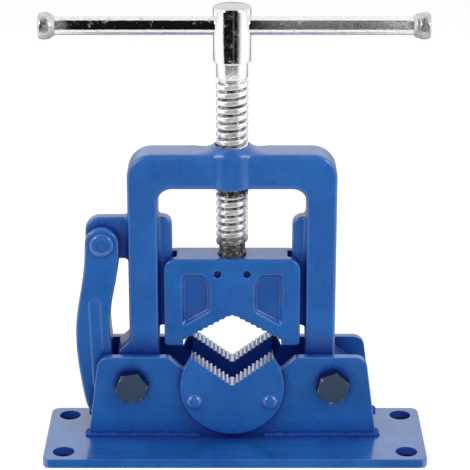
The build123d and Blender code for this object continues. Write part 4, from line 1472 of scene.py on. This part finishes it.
def makeScrew(sizes):
    low, high = nodeBox("feed_screw")
    pitch, root = sizes["pitch"], sizes["rootRadius"]
    start, end, headStart = sizes["threadStart"], sizes["threadEnd"], sizes["headStart"]
    axis = onScrewAxis(0.0)

    outline = profile(coarseThread, root, sizes["crestRadius"], pitch)
    turns = int((end - start) / pitch) - 1
    foot = onScrewAxis(start + pitch / 4)
    thread = windThread("screwSteel", outline, foot, turns, pitch, start - 0.0002, end + 0.0002,
                        48, math.pi / 2)

    plain, groove = sizes["plainRadius"], sizes["grooveRadius"]
    grooveLow, grooveHigh = sizes["grooveLow"], sizes["grooveHigh"]
    lower = turnForm("plainEnd", [
        (0.0, low.z), (plain - 0.001, low.z), (plain, low.z + 0.001), (plain, grooveLow),
        (groove, grooveLow), (groove, grooveHigh), (plain, grooveHigh), (plain, start - 0.0004),
        (plain - 0.0004, start), (0.0, start)], axis)

    neck, neckEnd = sizes["neckRadius"], headStart + 0.0004
    upper = turnForm("neck", [
        (0.0, end), (root, end), (neck - 0.0003, end + 0.0006), (neck, end + 0.0012),
        (neck, headStart - 0.0006), (neck + 0.0003, neckEnd), (0.0, neckEnd)], axis)

    wide, top, edge = sizes["headRadius"], high.z, sizes["headEdge"]
    head = turnForm("head", [
        (0.0, headStart), (wide - 0.0016, headStart), (wide - 0.0004, headStart + 0.0005),
        (wide, headStart + 0.0018), (wide, top - edge), (wide - 0.15 * edge, top - 0.5 * edge),
        (wide - 0.5 * edge, top - 0.15 * edge), (wide - edge, top), (0.0, top)], axis, steps=72)
    carve(head, [addRod("barHole", onScrewAxis(sizes["barZ"]), sizes["barHole"], 0.05, "X")])

    screw = joinAll([thread, lower, upper, head])
    handOver(screw, "screw", screwFinish, "feed_screw", sizes["smoothUnder"])


makeScrew(feedScrew)


# Tommy bar with two upset ends

tommyBar = {
    "radius": 0.00625,
    "knobRadius": 0.0095,
    "knobLength": 0.0126,
    "tenon": 0.004,           # of the rod inside each upset end
    "tenonShare": 0.9,
    "lumps": 0.00030,
    "lumpSize": 0.0045,
    "smoothUnder": 40.0,
    "knobSmoothUnder": 60.0,
}
# (share of the length, share of the radius) along the rod, between its ends
barSwells = [(0.0, 1.0), (0.02, 1.0), (0.15, 0.997), (0.3, 1.0), (0.5, 1.0), (0.7, 0.998), (0.85, 1.0),
             (0.98, 1.0), (1.0, 1.0)]
# (share of the radius, share of the length) of the upset ends, after the rod's own radius
leftKnob = [(0.70, 0.10), (0.80, 0.22), (0.93, 0.34), (0.985, 0.46), (1.0, 0.62), (0.99, 0.80),
            (0.95, 0.91), (0.86, 0.975), (0.70, 1.0), (0.30, 0.985), (0.0, 0.975)]
rightKnob = [(0.72, 0.10), (0.84, 0.20), (0.90, 0.26), (0.88, 0.32), (0.90, 0.38), (0.985, 0.48),
             (1.0, 0.66), (0.985, 0.86), (0.93, 0.96), (0.82, 1.0), (0.34, 0.985), (0.0, 0.98)]


def makeBar(sizes):
    low, high = nodeBox("tommy_bar")
    barZ = (low.z + high.z) / 2
    start, end = nodeBox("bar_knob_left")[1].x, nodeBox("bar_knob_right")[0].x
    length, radius, tenon = end - start, sizes["radius"], sizes["tenon"]
    thin = radius * sizes["tenonShare"]
    outline = [(0.0, -tenon), (thin, -tenon)]
    outline += [(radius * swell, length * share) for share, swell in barSwells]
    outline += [(thin, length + tenon), (0.0, length + tenon)]
    rod = turnForm("barSteel", outline, Vector((start, axisY, barZ)), "X")
    handOver(rod, "bar", barFinish, "tommy_bar", sizes["smoothUnder"])

    knob, reach = sizes["knobRadius"], sizes["knobLength"]
    lumps = bpy.data.textures.new("forgeLumps", "CLOUDS")
    lumps.noise_scale = sizes["lumpSize"]
    seat = [(0.0, 0.02), (radius / knob, 0.02)]
    for name, node, shares, at, flip in (("leftKnobSteel", "bar_knob_left", leftKnob, start, -1.0),
                                         ("rightKnobSteel", "bar_knob_right", rightKnob, end, 1.0)):
        outline = [(knob * rise, reach * along) for rise, along in seat + shares]
        tip = turnForm(name, outline, Vector((at, axisY, barZ)), "X", 48, flip)
        modify(tip, "SUBSURF", levels=1, render_levels=1)
        modify(tip, "DISPLACE", texture=lumps, strength=-sizes["lumps"], mid_level=0.0,
               texture_coords="LOCAL")
        handOver(tip, "bar", knobFinish, node, sizes["knobSmoothUnder"])


makeBar(tommyBar)
print("screw and bar made")
